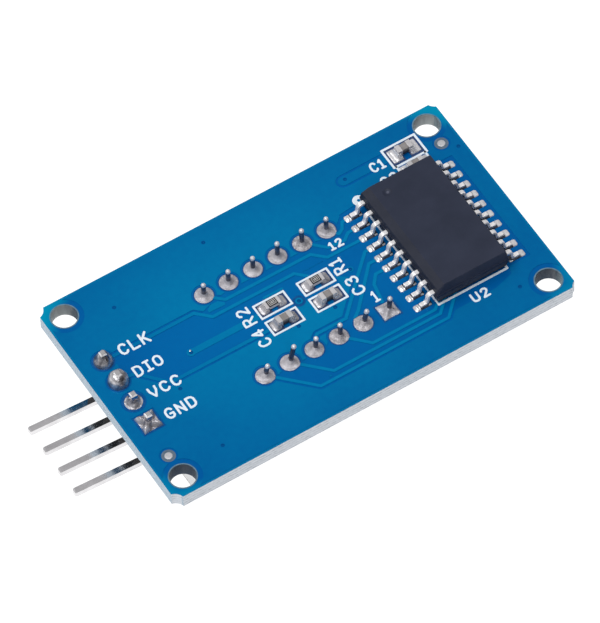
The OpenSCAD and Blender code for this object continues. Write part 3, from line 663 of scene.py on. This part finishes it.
layers = []
L, W = BOARD_L / 2, BOARD_W / 2
e, k = 0.22, 1.05
layers.append(("pour", [(-L + e + k, -W + e), (L - e - k, -W + e), (L - e, -W + e + k), (L - e, W - e - k), (L - e - k, W - e), (-L + e + k, W - e), (-L + e, W - e - k), (-L + e, -W + e + k)]))
for n, t in enumerate(TRACES):
    layers += [("trace", p) for p in ribbon(t, 0.34)] + [("clear", p) for p in ribbon(t, 0.34 + 0.40)]
    if n != 4:
        layers += [("track", p) for p in ribbon(t[1:] if n == 0 else t, 0.25)]
for t, w in WIDE:
    layers += [("trace", p) for p in ribbon(t, w)] + [("clear", p) for p in ribbon(t, w + 0.44)]
layers += [("soft", p) for p in NO_COPPER]
layers += [("trace", p) for p in ISLANDS]
for h in HOLES:
    layers += [("soft", circle(h, 1.78, 48)), ("hard", circle(h, 1.30, 48))]
    sx, sy = (1 if h[0] > 0 else -1), (1 if h[1] > 0 else -1)
    layers.append(("soft", [(h[0] - sx * 0.6, h[1] + sy * 1.0), (h[0] - sx * 0.3, W * sy), (L * sx, W * sy), (L * sx, h[1] - sy * 0.4), (h[0] + sx * 1.0, h[1] - sy * 0.7)]))
for x in PIN_X:
    for y in ROW_Y:
        sq = x > 5 and y < 0
        if sq:
            layers += [("soft", rect(x - 1.04, y - 1.04, x + 1.04, y + 1.04)), ("hard", rect(x - 0.88, y - 0.88, x + 0.88, y + 0.88))]
        else:
            layers += [("soft", circle((x, y), 1.13, 40)), ("hard", circle((x, y), 0.88, 40))]
for i, y in enumerate(HEAD_Y):
    if i == 3:
        layers += [("soft", rect(HEAD_X - 1.12, y - 1.12, HEAD_X + 1.12, y + 1.12)), ("hard", rect(HEAD_X - 0.94, y - 0.94, HEAD_X + 0.94, y + 0.94))]
    else:
        layers += [("soft", circle((HEAD_X, y), 1.16, 40)), ("hard", circle((HEAD_X, y), 0.93, 40))]
for f in FIDUCIALS:
    layers += [("soft", circle(f, 0.82, 32)), ("hard", circle(f, 0.64, 32))]
for v in VIAS:
    layers += [("via", circle(v, 0.19, 20))]
layers += [("soft", circle(VIAS[9], 0.62, 32)), ("trace", circle(VIAS[9], 0.34, 28)), ("trace", circle(VIAS[11], 0.4, 28)), ("soft", circle(VIAS[11], 0.6, 28)), ("soft", circle(VIAS[10], 0.5, 28)), ("trace", circle(VIAS[10], 0.3, 28))]
layers += [("hard", rect(x0 + 0.1, y0 + 0.1, x1 - 0.1, y1 - 0.1)) for x0, y0, x1, y1 in BOXES]
for x0, y0, x1, y1 in PAD_RECTS:
    layers += [("soft", rect(x0 - 0.16, y0 - 0.12, x1 + 0.16, y1 + 0.12)), ("hard", rect(x0 - 0.03, y0 - 0.03, x1 + 0.03, y1 + 0.03))]

v, f = slab(layers, lambda s: "hard" not in s and "via" not in s and ("trace" in s or ("pour" in s and not s & {"soft", "clear"})), 0.0, T_COPPER)
copper = add_mesh("mask_over_copper", v, f, M["mask_copper"])
v, f = slab(layers, lambda s: "clear" in s and "pour" in s and not s & {"trace", "soft", "hard", "via"}, 0.0, 0.004)
add_mesh("mask_in_clearances", v, f, M["clearance"])
v, f = slab(layers, lambda s: "track" in s and not s & {"hard", "via"}, 0.0, T_COPPER + 0.004)
add_mesh("mask_over_tracks", v, f, M["track_mask"])

# ------------------------------------------------------------------ white print: stroke letters
GLYPHS = {
    "C": (0.62, [[(0.60, 0.80), (0.50, 0.94), (0.33, 1.0), (0.16, 0.95), (0.04, 0.80), (0.0, 0.62), (0.0, 0.38), (0.04, 0.20), (0.16, 0.05), (0.33, 0.0), (0.50, 0.06), (0.60, 0.20)]]),
    "L": (0.60, [[(0.0, 1.0), (0.0, 0.0), (0.60, 0.0)]]),
    "K": (0.62, [[(0.0, 1.0), (0.0, 0.0)], [(0.60, 1.0), (0.02, 0.42)], [(0.20, 0.60), (0.62, 0.0)]]),
    "D": (0.62, [[(0.0, 0.0), (0.0, 1.0), (0.32, 1.0), (0.50, 0.92), (0.61, 0.74), (0.61, 0.26), (0.50, 0.08), (0.32, 0.0), (0.0, 0.0)]]),
    "I": (0.46, [[(0.0, 1.0), (0.46, 1.0)], [(0.23, 1.0), (0.23, 0.0)], [(0.0, 0.0), (0.46, 0.0)]]),
    "O": (0.64, [[(0.32, 1.0), (0.50, 0.94), (0.62, 0.78), (0.64, 0.55), (0.64, 0.45), (0.62, 0.22), (0.50, 0.06), (0.32, 0.0), (0.14, 0.06), (0.02, 0.22), (0.0, 0.45), (0.0, 0.55), (0.02, 0.78), (0.14, 0.94), (0.32, 1.0)]]),
    "V": (0.62, [[(0.0, 1.0), (0.02, 0.62), (0.31, 0.0), (0.60, 0.62), (0.62, 1.0)]]),
    "G": (0.62, [[(0.60, 0.80), (0.50, 0.94), (0.33, 1.0), (0.16, 0.95), (0.04, 0.80), (0.0, 0.62), (0.0, 0.38), (0.04, 0.20), (0.16, 0.05), (0.33, 0.0), (0.50, 0.05), (0.61, 0.18), (0.61, 0.44), (0.34, 0.44)]]),
    "N": (0.60, [[(0.0, 0.0), (0.0, 1.0), (0.60, 0.0), (0.60, 1.0)]]),
    "R": (0.62, [[(0.0, 0.0), (0.0, 1.0), (0.38, 1.0), (0.54, 0.93), (0.60, 0.76), (0.54, 0.58), (0.38, 0.50), (0.0, 0.50)], [(0.30, 0.50), (0.62, 0.0)]]),
    "U": (0.60, [[(0.0, 1.0), (0.0, 0.26), (0.07, 0.08), (0.30, 0.0), (0.53, 0.08), (0.60, 0.26), (0.60, 1.0)]]),
    "0": (0.56, [[(0.28, 1.0), (0.48, 0.90), (0.56, 0.66), (0.56, 0.34), (0.48, 0.10), (0.28, 0.0), (0.08, 0.10), (0.0, 0.34), (0.0, 0.66), (0.08, 0.90), (0.28, 1.0)]]),
    "1": (0.40, [[(0.02, 0.80), (0.22, 1.0), (0.22, 0.0)], [(0.0, 0.0), (0.42, 0.0)]]),
    "2": (0.58, [[(0.02, 0.78), (0.08, 0.92), (0.29, 1.0), (0.50, 0.92), (0.56, 0.74), (0.50, 0.56), (0.0, 0.0), (0.58, 0.0)]]),
    "3": (0.58, [[(0.02, 0.86), (0.14, 0.97), (0.30, 1.0), (0.50, 0.92), (0.56, 0.76), (0.48, 0.58), (0.26, 0.53)], [(0.26, 0.53), (0.50, 0.46), (0.58, 0.26), (0.50, 0.08), (0.30, 0.0), (0.12, 0.03), (0.0, 0.15)]]),
    "4": (0.60, [[(0.44, 0.0), (0.44, 1.0), (0.0, 0.30), (0.60, 0.30)]]),
}


def lettering(text, box, stroke, turn=False, gap=0.42):
    """Strokes of a word that fill box = (x0, y0, x1, y1) in mm. turn reads upwards."""
    x0, y0, x1, y1 = box
    w, h = ((y1 - y0), (x1 - x0)) if turn else ((x1 - x0), (y1 - y0))
    w, h = w - stroke, h - stroke
    total = sum(GLYPHS[c][0] for c in text) + gap * (len(text) - 1)
    sx, out, pen = w / total, [], 0.0
    for c in text:
        for line in GLYPHS[c][1]:
            pts = [((pen + px) * sx + stroke / 2, py * h + stroke / 2) for px, py in line]
            out.append([(x1 - b, y0 + a) if turn else (x0 + a, y0 + b) for a, b in pts])
        pen += GLYPHS[c][0] + gap
    return out


WORDS = [
    ("CLK", (-16.75, 3.52, -13.72, 4.79), 0.215, False), ("DIO", (-16.83, 0.88, -13.98, 2.09), 0.20, False),
    ("VCC", (-16.87, -1.74, -13.75, -0.53), 0.21, False), ("GND", (-16.85, -4.42, -13.78, -3.19), 0.21, False),
    ("12", (4.53, 3.01, 5.89, 3.95), 0.19, False), ("1", (4.85, -3.75, 5.39, -2.51), 0.19, False),
    ("R1", (3.46, 0.49, 4.72, 2.15), 0.20, True), ("C3", (3.65, -2.25, 4.91, -0.18), 0.20, True),
    ("R2", (-6.19, 0.11, -4.93, 2.12), 0.20, True), ("C4", (-6.17, -2.44, -4.93, -0.51), 0.20, True),
    ("C1", (12.08, 8.06, 13.49, 9.19), 0.20, False), ("C2", (12.08, 6.23, 13.77, 7.35), 0.20, False),
    ("U2", (12.08, -8.55, 13.82, -7.49), 0.20, False),
]


def frame_lines(x0, y0, x1, y1, w, cut=0.12):
    a = w / 2
    x0, y0, x1, y1 = x0 + a, y0 + a, x1 - a, y1 - a
    return [(x0 + cut, y0), (x1 - cut, y0), (x1, y0 + cut), (x1, y1 - cut), (x1 - cut, y1), (x0 + cut, y1), (x0, y1 - cut), (x0, y0 + cut), (x0 + cut, y0)]


parts = []
for text, box, stroke, turn in WORDS:
    polys = [("ink", p) for line in lettering(text, box, stroke, turn) for p in ribbon(line, stroke)]
    parts.append(slab(polys, lambda s: "ink" in s, 0.0, T_PRINT))
for b in BOXES:
    w = 0.21 if b[0] > 13 else 0.19
    parts.append(slab([("ink", round_rect(*b, 0.07)), ("in", round_rect(b[0] + w, b[1] + w, b[2] - w, b[3] - w, 0.02))], lambda s: "ink" in s and "in" not in s, 0.0, T_PRINT))
parts.append(slab([("ink", p) for p in ribbon([(14.15, 7.6), (14.15, 6.02), (17.18, 6.02), (17.18, 7.6)], 0.2, 10)], lambda s: "ink" in s, 0.0, T_PRINT))
parts.append(slab([("ink", p) for p in ribbon([(9.35, -6.92), (16.5, -6.92), (16.5, -6.66)], 0.22, 10)] + [("ink", rect(9.275, -6.90, 9.425, 4.5))] + [("ink", circle((9.4, 6.35), 0.56, 28)), ("in", circle((9.42, 6.35), 0.15, 16))], lambda s: "ink" in s and "in" not in s, 0.0, T_PRINT))
v, f = merge(parts)
ink = add_mesh("white_print_top", v, f, M["print"])

# bare laminate shows round the pads inside the printed frames, with a bridge of mask between the two pads
parts = []
for (x0, y0, x1, y1), key in zip(BOXES, ("r2", "c4", "r1", "c3", "c1")):
    cx, w = CHIPS[key][0], 0.28
    parts.append(slab([("a", rect(x0 + 0.16, y0 + 0.16, x1 - 0.16, y1 - 0.16)), ("b", rect(cx - w, y0, cx + w, y1))], lambda s: "b" not in s, 0.0, 0.006))
v, f = merge(parts)
add_mesh("mask_openings", v, f, M["opening"])
parts = []
for x, y in [(x, y) for x in PIN_X for y in ROW_Y]:
    sq = x > 5 and y < 0
    a, b = (rect(x - 0.99, y - 0.99, x + 0.99, y + 0.99), rect(x - 0.84, y - 0.84, x + 0.84, y + 0.84)) if sq else (circle((x, y), 0.99, 40), circle((x, y), 0.84, 40))
    parts.append(slab([("a", a), ("b", b)], lambda s: "b" not in s, 0.0, 0.006))
for i, y in enumerate(HEAD_Y):
    x = HEAD_X
    a, b = (rect(x - 1.06, y - 1.06, x + 1.06, y + 1.06), rect(x - 0.88, y - 0.88, x + 0.88, y + 0.88)) if i == 3 else (circle((x, y), 1.06, 40), circle((x, y), 0.86, 40))
    parts.append(slab([("a", a), ("b", b)], lambda s: "b" not in s, 0.0, 0.006))
v, f = merge(parts)
add_mesh("pad_gaps", v, f, M["gap"])

# white outlines on the underside: the display and the header
parts = [slab([("ink", p) for p in ribbon(frame_lines(*q, 0.2), 0.2, 10)], lambda s: "ink" in s, -BOARD_T - T_PRINT, -BOARD_T)
         for q in ((-16.55, -7.35, 14.5, 7.55), (-19.98, -5.15, -16.9, 5.57))]
v, f = merge(parts)
add_mesh("white_print_under", v, f, M["print"])

# ------------------------------------------------------------------ rings round the mounting holes, fiducials, via caps
v, f = merge([slab([("a", circle(h, 1.31, 64)), ("b", circle(h, 1.203, 64))], lambda s: "b" not in s, -0.01, 0.022) for h in HOLES])
add_mesh("hole_rims", v, f, M["rim"])
v, f = merge([slab([("a", circle(c, 0.64, 40)), ("b", circle(c, 0.372, 40))], lambda s: "b" not in s, -0.01, 0.006) for c in FIDUCIALS])
add_mesh("fiducial_rings", v, f, M["ring_laminate"])


def dome(c, r, h, z0=0.0, n=32, rings=6, flat=0.75):
    """A low button: flat in the middle and rounded at its edge."""
    verts, faces = [], []
    for j in range(rings + 1):
        t = j / rings
        rr = r * (1 - (1 - flat) * t ** 1.5) if j < rings else r * flat * 0.5
        zz = z0 + h * (1 - (1 - t) ** 2.2)
        verts += [(x, y, zz) for x, y in circle(c, rr, n)]
    for j in range(rings):
        for i in range(n):
            a, b = j * n + i, j * n + (i + 1) % n
            faces.append([a, b, b + n, a + n])
    faces.append([rings * n + i for i in range(n)])
    faces.append([i for i in reversed(range(n))])
    return verts, faces


v, f = merge([dome(c, 0.372, 0.04) for c in FIDUCIALS])
add_mesh("fiducial_pads", v, f, M["fiducial"], True)
v, f = merge([slab([("a", circle(c, 0.19, 20)), ("b", circle(c, 0.075, 12))], lambda s: "b" not in s, 0.0, T_COPPER + 0.003) for c in VIAS])
add_mesh("via_fill", v, f, M["via"])
v, f = slab([("a", circle(VIAS[9], 0.60, 32)), ("b", circle(VIAS[9], 0.36, 28))], lambda s: "b" not in s, 0.0, 0.012)
add_mesh("via_ring", v, f, M["gap"])
v, f = merge([dome((VIAS[11][0] + 0.02, VIAS[11][1] + 0.18), 0.1, 0.08, n=16)])
add_mesh("via_glint", v, f, M["solder_bright"], True)


# ------------------------------------------------------------------ solder
def joint(c, pad, pin, height, power, seed, square=False, lump=0.03, lean=(0.0, 0.0), side=None, dome_h=0.0, ridge=0.0, fine=0.4, neck=0.0):
    """A solder joint: from the pad's edge up to the pin. power shapes the fillet, dome_h swells it,
    ridge raises lobes towards the corners of a square pad, neck sinks the solder just round the pin."""
    rnd = random.Random(seed)
    nth, nr = 72, 24
    off = Vector((rnd.uniform(-50, 50), rnd.uniform(-50, 50), rnd.uniform(-50, 50)))
    verts, faces = [], []
    for j in range(nr + 1):
        t = j / nr  # 0 at the pad's edge, 1 at the pin
        for i in range(nth):
            a = 2 * math.pi * i / nth
            ca, sa = math.cos(a), math.sin(a)
            q = 1.0 / max(abs(ca), abs(sa))
            if square:
                edge = pad * min(q, 1.0 + (q - 1.0) * 0.93)
                if ridge:
                    edge *= 1.0 - 0.07 * (1 - (q - 1.0) / 0.414) ** 2
            else:
                edge = pad * (1 + 0.02 * noise.noise(Vector((ca * 1.5, sa * 1.5, 0)) + off))
                if side is not None:  # a small tail where the track leaves the pad
                    edge += 0.09 * max(0.0, math.cos(a - math.radians(side))) ** 26
            r = edge + (pin - edge) * t
            x, y = r * ca, r * sa
            rise = height * t ** power
            if dome_h:
                rise += dome_h * math.sqrt(max(0.0, 1 - (1 - t) ** 2.0)) * (1 - 0.15 * t)
            if ridge:
                lobe = 0.5 - 0.5 * math.cos(4 * a)
                rise += ridge * (lobe ** 0.8 - 0.35) * math.sin(math.pi * min(1.0, t * 1.05) ** 0.75)
            if neck:
                rise -= neck * math.exp(-((t - 0.80) / 0.16) ** 2)
            z = 0.045 * min(1.0, t * 9) ** 0.5 + rise
            if t > 0:
                z += lump * noise.noise(Vector((x * 2.1, y * 2.1, 0)) + off) * math.sin(math.pi * min(1, t + 0.1)) * 1.6
                z += lump * fine * noise.noise(Vector((x * 5.5, y * 5.5, 3)) + off)
            k2 = t * t
            verts.append((c[0] + x + lean[0] * k2 * max(0.0, z), c[1] + y + lean[1] * k2 * max(0.0, z), max(z, 0.012)))
    b = len(verts)
    verts += [(p[0], p[1], 0.0) for p in verts[:nth]]
    for j in range(nr):
        for i in range(nth):
            p, q = j * nth + i, j * nth + (i + 1) % nth
            faces.append([p, q, q + nth, p + nth])
    for i in range(nth):
        faces.append([b + i, b + (i + 1) % nth, (i + 1) % nth, i])
    faces.append([nr * nth + i for i in range(nth)])
    faces.append([b + i for i in reversed(range(nth))])
    return verts, faces


joints = []
tails_up = {0: -50, 4: -42, 5: -52}
tails_low = {0: -45, 1: -45, 3: -45, 4: 118}
for i, x in enumerate(PIN_X):
    joints.append(joint((x, ROW_Y[0]), 0.865, 0.20, 0.42, 3.2, 10 + i, lump=0.035 + 0.02 * (i == 4), side=tails_up.get(i)))
    joints.append(joint((x, ROW_Y[1]), 0.865, 0.20, 0.40, 3.0, 30 + i, square=(i == 5), lean=(0.33, 0.0), lump=0.04 + 0.02 * (i == 3), side=tails_low.get(i), ridge=0.10 if i == 5 else 0.0))
v, f = merge(joints)
add_mesh("display_joint_solder", v, f, M["solder"], True, stands_for=("solder_display_pins",))

v, f = merge([
    joint((HEAD_X, HEAD_Y[0]), 0.90, 0.27, 1.20, 0.80, 51, lump=0.14, lean=(0.06, 0.06), fine=0.25),
    joint((HEAD_X, HEAD_Y[1]), 0.94, 0.20, 0.12, 1.0, 52, lump=0.05, dome_h=1.24, fine=0.3),
    joint((HEAD_X, HEAD_Y[2]), 0.84, 0.34, 0.56, 2.2, 53, lump=0.11, fine=0.25, neck=0.05),
    joint((HEAD_X, HEAD_Y[3]), 0.94, 0.34, 0.46, 1.7, 54, square=True, lump=0.07, ridge=0.62, fine=0.7),
])
add_mesh("header_joint_solder", v, f, M["solder_header"], True, stands_for=("solder_header_pins",))


def height_pad(x0, y0, x1, y1, fn, r=0.12, nx=26, ny=18, edge=0.09):
    """A pad of solder with rounded corners: fn(x, y) is its height inside, and it falls to the board at its rim."""
    cx, cy, hx, hy = (x0 + x1) / 2, (y0 + y1) / 2, (x1 - x0) / 2, (y1 - y0) / 2
    verts, faces = [], []
    for j in range(ny + 1):
        for i in range(nx + 1):
            u, w = -1 + 2 * i / nx, -1 + 2 * j / ny
            # squeeze the square grid's corners so that the outline is rounded
            x, y = u * hx, w * hy
            ox, oy = abs(x) - (hx - r), abs(y) - (hy - r)
            if ox > 0 and oy > 0:
                m = max(ox, oy)
                ln = math.hypot(ox, oy)
                x = math.copysign(hx - r + ox * m / ln, x)
                y = math.copysign(hy - r + oy * m / ln, y)
            ox, oy = abs(x) - (hx - r), abs(y) - (hy - r)
            d = r - (math.hypot(max(ox, 0), max(oy, 0)) if max(ox, oy) > 0 else max(ox, oy))
            s = min(1.0, max(0.0, d / edge))
            verts.append((cx + x, cy + y, 0.008 + (fn(cx + x, cy + y) - 0.008) * math.sqrt(1 - (1 - s) ** 2)))
    b = len(verts)
    verts += [(p[0], p[1], 0.0) for p in verts]
    row = nx + 1
    for j in range(ny):
        for i in range(nx):
            a = j * row + i
            faces.append([a, a + 1, a + 1 + row, a + row])
            faces.append([b + a, b + a + row, b + a + 1 + row, b + a + 1])
    loop = [i for i in range(row)] + [row * j + nx for j in range(1, ny + 1)] + [row * ny + i for i in range(nx - 1, -1, -1)] + [row * j for j in range(ny - 1, 0, -1)]
    for p, q in zip(loop, loop[1:] + loop[:1]):
        faces.append([b + p, b + q, q, p])
    return verts, faces


def lead_solder(n, s):
    rnd = random.Random(100 + 20 * n + (s > 0))
    off = Vector((rnd.uniform(-9, 9), rnd.uniform(-9, 9), rnd.uniform(-9, 9)))
    toe, fat = rnd.uniform(0.10, 0.17), rnd.uniform(0.8, 1.2)
    y0 = LEAD_Y[n]
    a, b = sorted((IC_X + s * 4.02, IC_X + s * 5.73))
    foot0, foot1 = 4.55, 5.15

    def h(x, y):
        u = abs(x - IC_X)
        du = max(foot0 - u, 0, u - foot1)
        dv = max(0.0, abs(y - y0) - 0.21)
        d = math.hypot(du * (1.0 if u > foot1 else 1.6), dv * 1.2)
        z = 0.055 + (0.11 * fat) * math.exp(-(d / toe) ** 1.4) * (1.0 if d > 0 else 0.0)
        z += (0.12 if s < 0 else 0.035) * fat * math.exp(-((u - 5.46) / 0.15) ** 2 - ((y - y0) / 0.30) ** 2)
        if d == 0:
            z = 0.078
        return z + 0.02 * noise.noise(Vector((x * 4, y * 4, 0)) + off)
    return height_pad(a, y0 - 0.37, b, y0 + 0.37, h, 0.2, 44, 22, 0.12)


v, f = merge([lead_solder(n, s) for n in range(10) for s in (-1, 1)])
add_mesh("driver_joint_solder", v, f, M["solder_lead"], True, stands_for=("solder_driver_ic",))


def chip_solder(key):
    cx, cy = CHIPS[key]
    top = 0.34 if key[0] == "r" else 0.52
    out = []
    for s, (x0, y0, x1, y1) in zip((-1, 1), CHIP_PADS[key]):
        rnd = random.Random(sum(map(ord, key)) * 7 + s)
        off = Vector((rnd.uniform(-9, 9), rnd.uniform(-9, 9), rnd.uniform(-9, 9)))
        climb, reach = top * rnd.uniform(0.85, 1.05), rnd.uniform(0.15, 0.20)

        def h(x, y, s=s, climb=climb, reach=reach, off=off):
            u = (x - cx) * s
            du, dv = u - CHIP_L / 2, abs(y - cy) - CHIP_W / 2
            if du <= 0 and dv <= 0:
                return 0.078
            d = math.hypot(max(du, 0), max(dv, 0) * 1.25)
            return 0.085 + climb * math.exp(-(d / reach) ** 1.3) + 0.014 * noise.noise(Vector((x * 1.8, y * 1.8, 0)) + off)
        big = key in ("c1", "c2")
        out.append(height_pad(x0, y0, x1, y1, h, 0.12 if big else 0.30, 36, 30, 0.14 if big else 0.22))
    return merge(out)


v, f = merge([chip_solder(key) for key in ("r1", "r2", "c3", "c4")])
add_mesh("chip_joint_solder", v, f, M["solder_chip"], True, stands_for=("solder_chip_parts",))
v, f = merge([chip_solder(key) for key in ("c1", "c2")])
add_mesh("supply_capacitor_joint_solder", v, f, M["solder_pad"], True, stands_for=("solder_chip_parts",))

# ------------------------------------------------------------------ finish of the CAD nodes
LOOK = {
    "pcb": "board", "display_housing": "shell", "display_face_film": "face_film", "display_segment_fill": "milky", "display_led_board": "bare_laminate", "display_led_dies": "die",
    "display_potting": "potting", "display_pins_upper": "round_pin", "display_pins_lower": "round_pin", "header_body": "header_plastic",
    "header_pin_clk": "pin", "header_pin_dio": "pin", "header_pin_vcc": "pin", "header_pin_gnd": "pin", "driver_ic_body": "chip_moulding",
    "driver_ic_die_pad": "copper", "driver_ic_die": "silicon", "driver_ic_leads_left": "lead", "driver_ic_leads_right": "lead",
    "resistor_r1": "resistor", "resistor_r2": "resistor",
}
for name, o in nodes.items():
    key = LOOK.get(name)
    if key is None:
        key = "end_cap" if name.endswith("_end_caps") else "ceramic" if name.startswith("capacitor") else "solder"
    o.data.materials.clear()
    o.data.materials.append(M[key])


def soften(name, width, segments=2, angle=28, harden=False):
    """Rounds a node's sharp edges a little, as moulding or plating does."""
    o = nodes[name]
    w = o.modifiers.new("join", "WELD")
    w.merge_threshold = 2e-6
    b = o.modifiers.new("round", "BEVEL")
    b.width = width * MM
    b.segments = segments
    b.limit_method = "ANGLE"
    b.angle_limit = math.radians(angle)
    b.harden_normals = harden
    b.use_clamp_overlap = True


soften("driver_ic_body", 0.06, 3)
soften("header_body", 0.08, 2)
for name in ("clk", "dio", "vcc", "gnd"):
    soften("header_pin_" + name, 0.035, 2, 40, True)
for side in ("left", "right"):
    soften("driver_ic_leads_" + side, 0.04, 2, 50)
for key in CHIPS:
    base = ("resistor_" if key[0] == "r" else "capacitor_") + key
    soften(base, 0.03, 2)
    soften(base + "_end_caps", 0.05, 2)

# ------------------------------------------------------------------ marks on the two resistors
parts = []
for key in ("r1", "r2"):
    cx, cy = CHIPS[key]
    strokes = lettering("103", (cx - 0.225, cy - 0.135, cx + 0.225, cy + 0.135), 0.05, gap=0.5)
    strokes.append(frame_lines(cx - 0.36, cy - 0.26, cx + 0.36, cy + 0.26, 0.06, 0.03))
    parts.append(slab([("ink", p) for line in strokes for p in ribbon(line, 0.05, 8)], lambda s: "ink" in s, 0.515, 0.528))
v, f = merge(parts)
add_mesh("resistor_marks", v, f, M["mark_ink"])

# ------------------------------------------------------------------ floor, light and camera
me = bpy.data.meshes.new("floor")
me.from_pydata([(-1.5, -1.5, FLOOR_Z * MM), (1.5, -1.5, FLOOR_Z * MM), (1.5, 1.5, FLOOR_Z * MM), (-1.5, 1.5, FLOOR_Z * MM)], [], [[0, 1, 2, 3]])
floor = bpy.data.objects.new("floor", me)
scene.collection.objects.link(floor)
fm, nt, sh, vec = start("pale_light_table")
nt.links.new(ramp(nt, tex_noise(nt, vec, 6.0, 2.0), [(0.3, (0.16, 0.16, 0.16)), (0.7, (0.18, 0.18, 0.18))]), sh.inputs["Base Color"])
sh.inputs["Roughness"].default_value = 0.9
sh.inputs["Specular IOR Level"].default_value = 0.0
sh.inputs["Emission Color"].default_value = (1.0, 1.0, 1.0, 1.0)
sh.inputs["Emission Strength"].default_value = 0.98
# its lower side is clear, so that the underside of the module can be looked at
geo = nt.nodes.new("ShaderNodeNewGeometry")
clear = nt.nodes.new("ShaderNodeBsdfTransparent")
both = nt.nodes.new("ShaderNodeMixShader")
nt.links.new(geo.outputs["Backfacing"], both.inputs[0])
nt.links.new(sh.outputs[0], both.inputs[1])
nt.links.new(clear.outputs[0], both.inputs[2])
target = next(n for n in nt.nodes if n.type == "OUTPUT_MATERIAL")
nt.links.new(both.outputs[0], target.inputs["Surface"])
floor.data.materials.append(fm)

# studio: a mid-grey ceiling, a pale left side, and a dark flag low in front and to the right
world = bpy.data.worlds.new("studio")
scene.world = world
world.use_nodes = True
wn = world.node_tree
bg = wn.nodes["Background"]
tc = wn.nodes.new("ShaderNodeTexCoord")
sp = wn.nodes.new("ShaderNodeSeparateXYZ")
wn.links.new(tc.outputs["Generated"], sp.inputs[0])
sky = ramp(wn, sp.outputs[2], [(0.0, (0.80, 0.80, 0.80)), (0.10, (0.70, 0.70, 0.70)), (0.30, (0.50, 0.50, 0.51)), (0.70, (0.52, 0.515, 0.525)), (1.0, (0.50, 0.50, 0.51))])


def lobe(direction, inner, outer):
    d = wn.nodes.new("ShaderNodeVectorMath")
    d.operation = "DOT_PRODUCT"
    wn.links.new(tc.outputs["Generated"], d.inputs[0])
    d.inputs[1].default_value = Vector(direction).normalized()
    return map_range(wn, d.outputs["Value"], math.cos(math.radians(outer)), math.cos(math.radians(inner)), 0.0, 1.0, True)


above = map_range(wn, sp.outputs[2], 0.06, 0.14, 0.0, 1.0, True)
dark = math_node(wn, "MULTIPLY", above, math_node(wn, "MAXIMUM", lobe((0.35, -0.85, 0.25), 32, 52), math_node(wn, "MULTIPLY", lobe((0.95, -0.1, 0.25), 30, 48), 0.5)))
sky = mix_col(wn, dark, sky, (0.045, 0.045, 0.055))
sky = mix_col(wn, lobe((-0.85, 0.25, 0.45), 20, 45), sky, (0.58, 0.58, 0.59))
wn.links.new(sky, bg.inputs["Color"])
bg.inputs["Strength"].default_value = 1.0


def softbox(name, pos, target, size, watts, colour=(1, 1, 1)):
    d = bpy.data.lights.new(name, "AREA")
    d.shape = "RECTANGLE"
    d.size, d.size_y = size
    d.energy = watts
    d.color = colour
    o = bpy.data.objects.new(name, d)
    scene.collection.objects.link(o)
    o.location = pos
    o.rotation_mode = "QUATERNION"
    o.rotation_quaternion = (Vector(target) - Vector(pos)).to_track_quat("-Z", "Y")
    return o


softbox("key_softbox", (-0.25, 0.08, 0.70), (0, 0, 0), (0.62, 0.27), 2.7)
softbox("front_softbox", (-0.16, -0.52, 0.52), (0, 0, 0), (0.20, 0.14), 0.55)
softbox("top_softbox", (0.02, -0.05, 0.85), (0, 0, 0), (0.30, 0.30), 1.0)

cd = bpy.data.cameras.new("camera")
cd.sensor_width = 36.0
cd.lens = 449.9
cd.clip_start, cd.clip_end = 0.05, 20.0
cam = bpy.data.objects.new("camera", cd)
scene.collection.objects.link(cam)
cam.matrix_world = Matrix((
    (0.8475863, 0.4506928, -0.2801310, -0.19242960),
    (-0.5300022, 0.6927486, -0.4890777, -0.33469612),
    (-0.0263634, 0.5630056, 0.8260325, 0.56379344),
    (0, 0, 0, 1)))
scene.camera = cam

scene.view_settings.view_transform = "Standard"
scene.view_settings.look = "None"
scene.view_settings.exposure = 0.0
scene.view_settings.gamma = 1.0
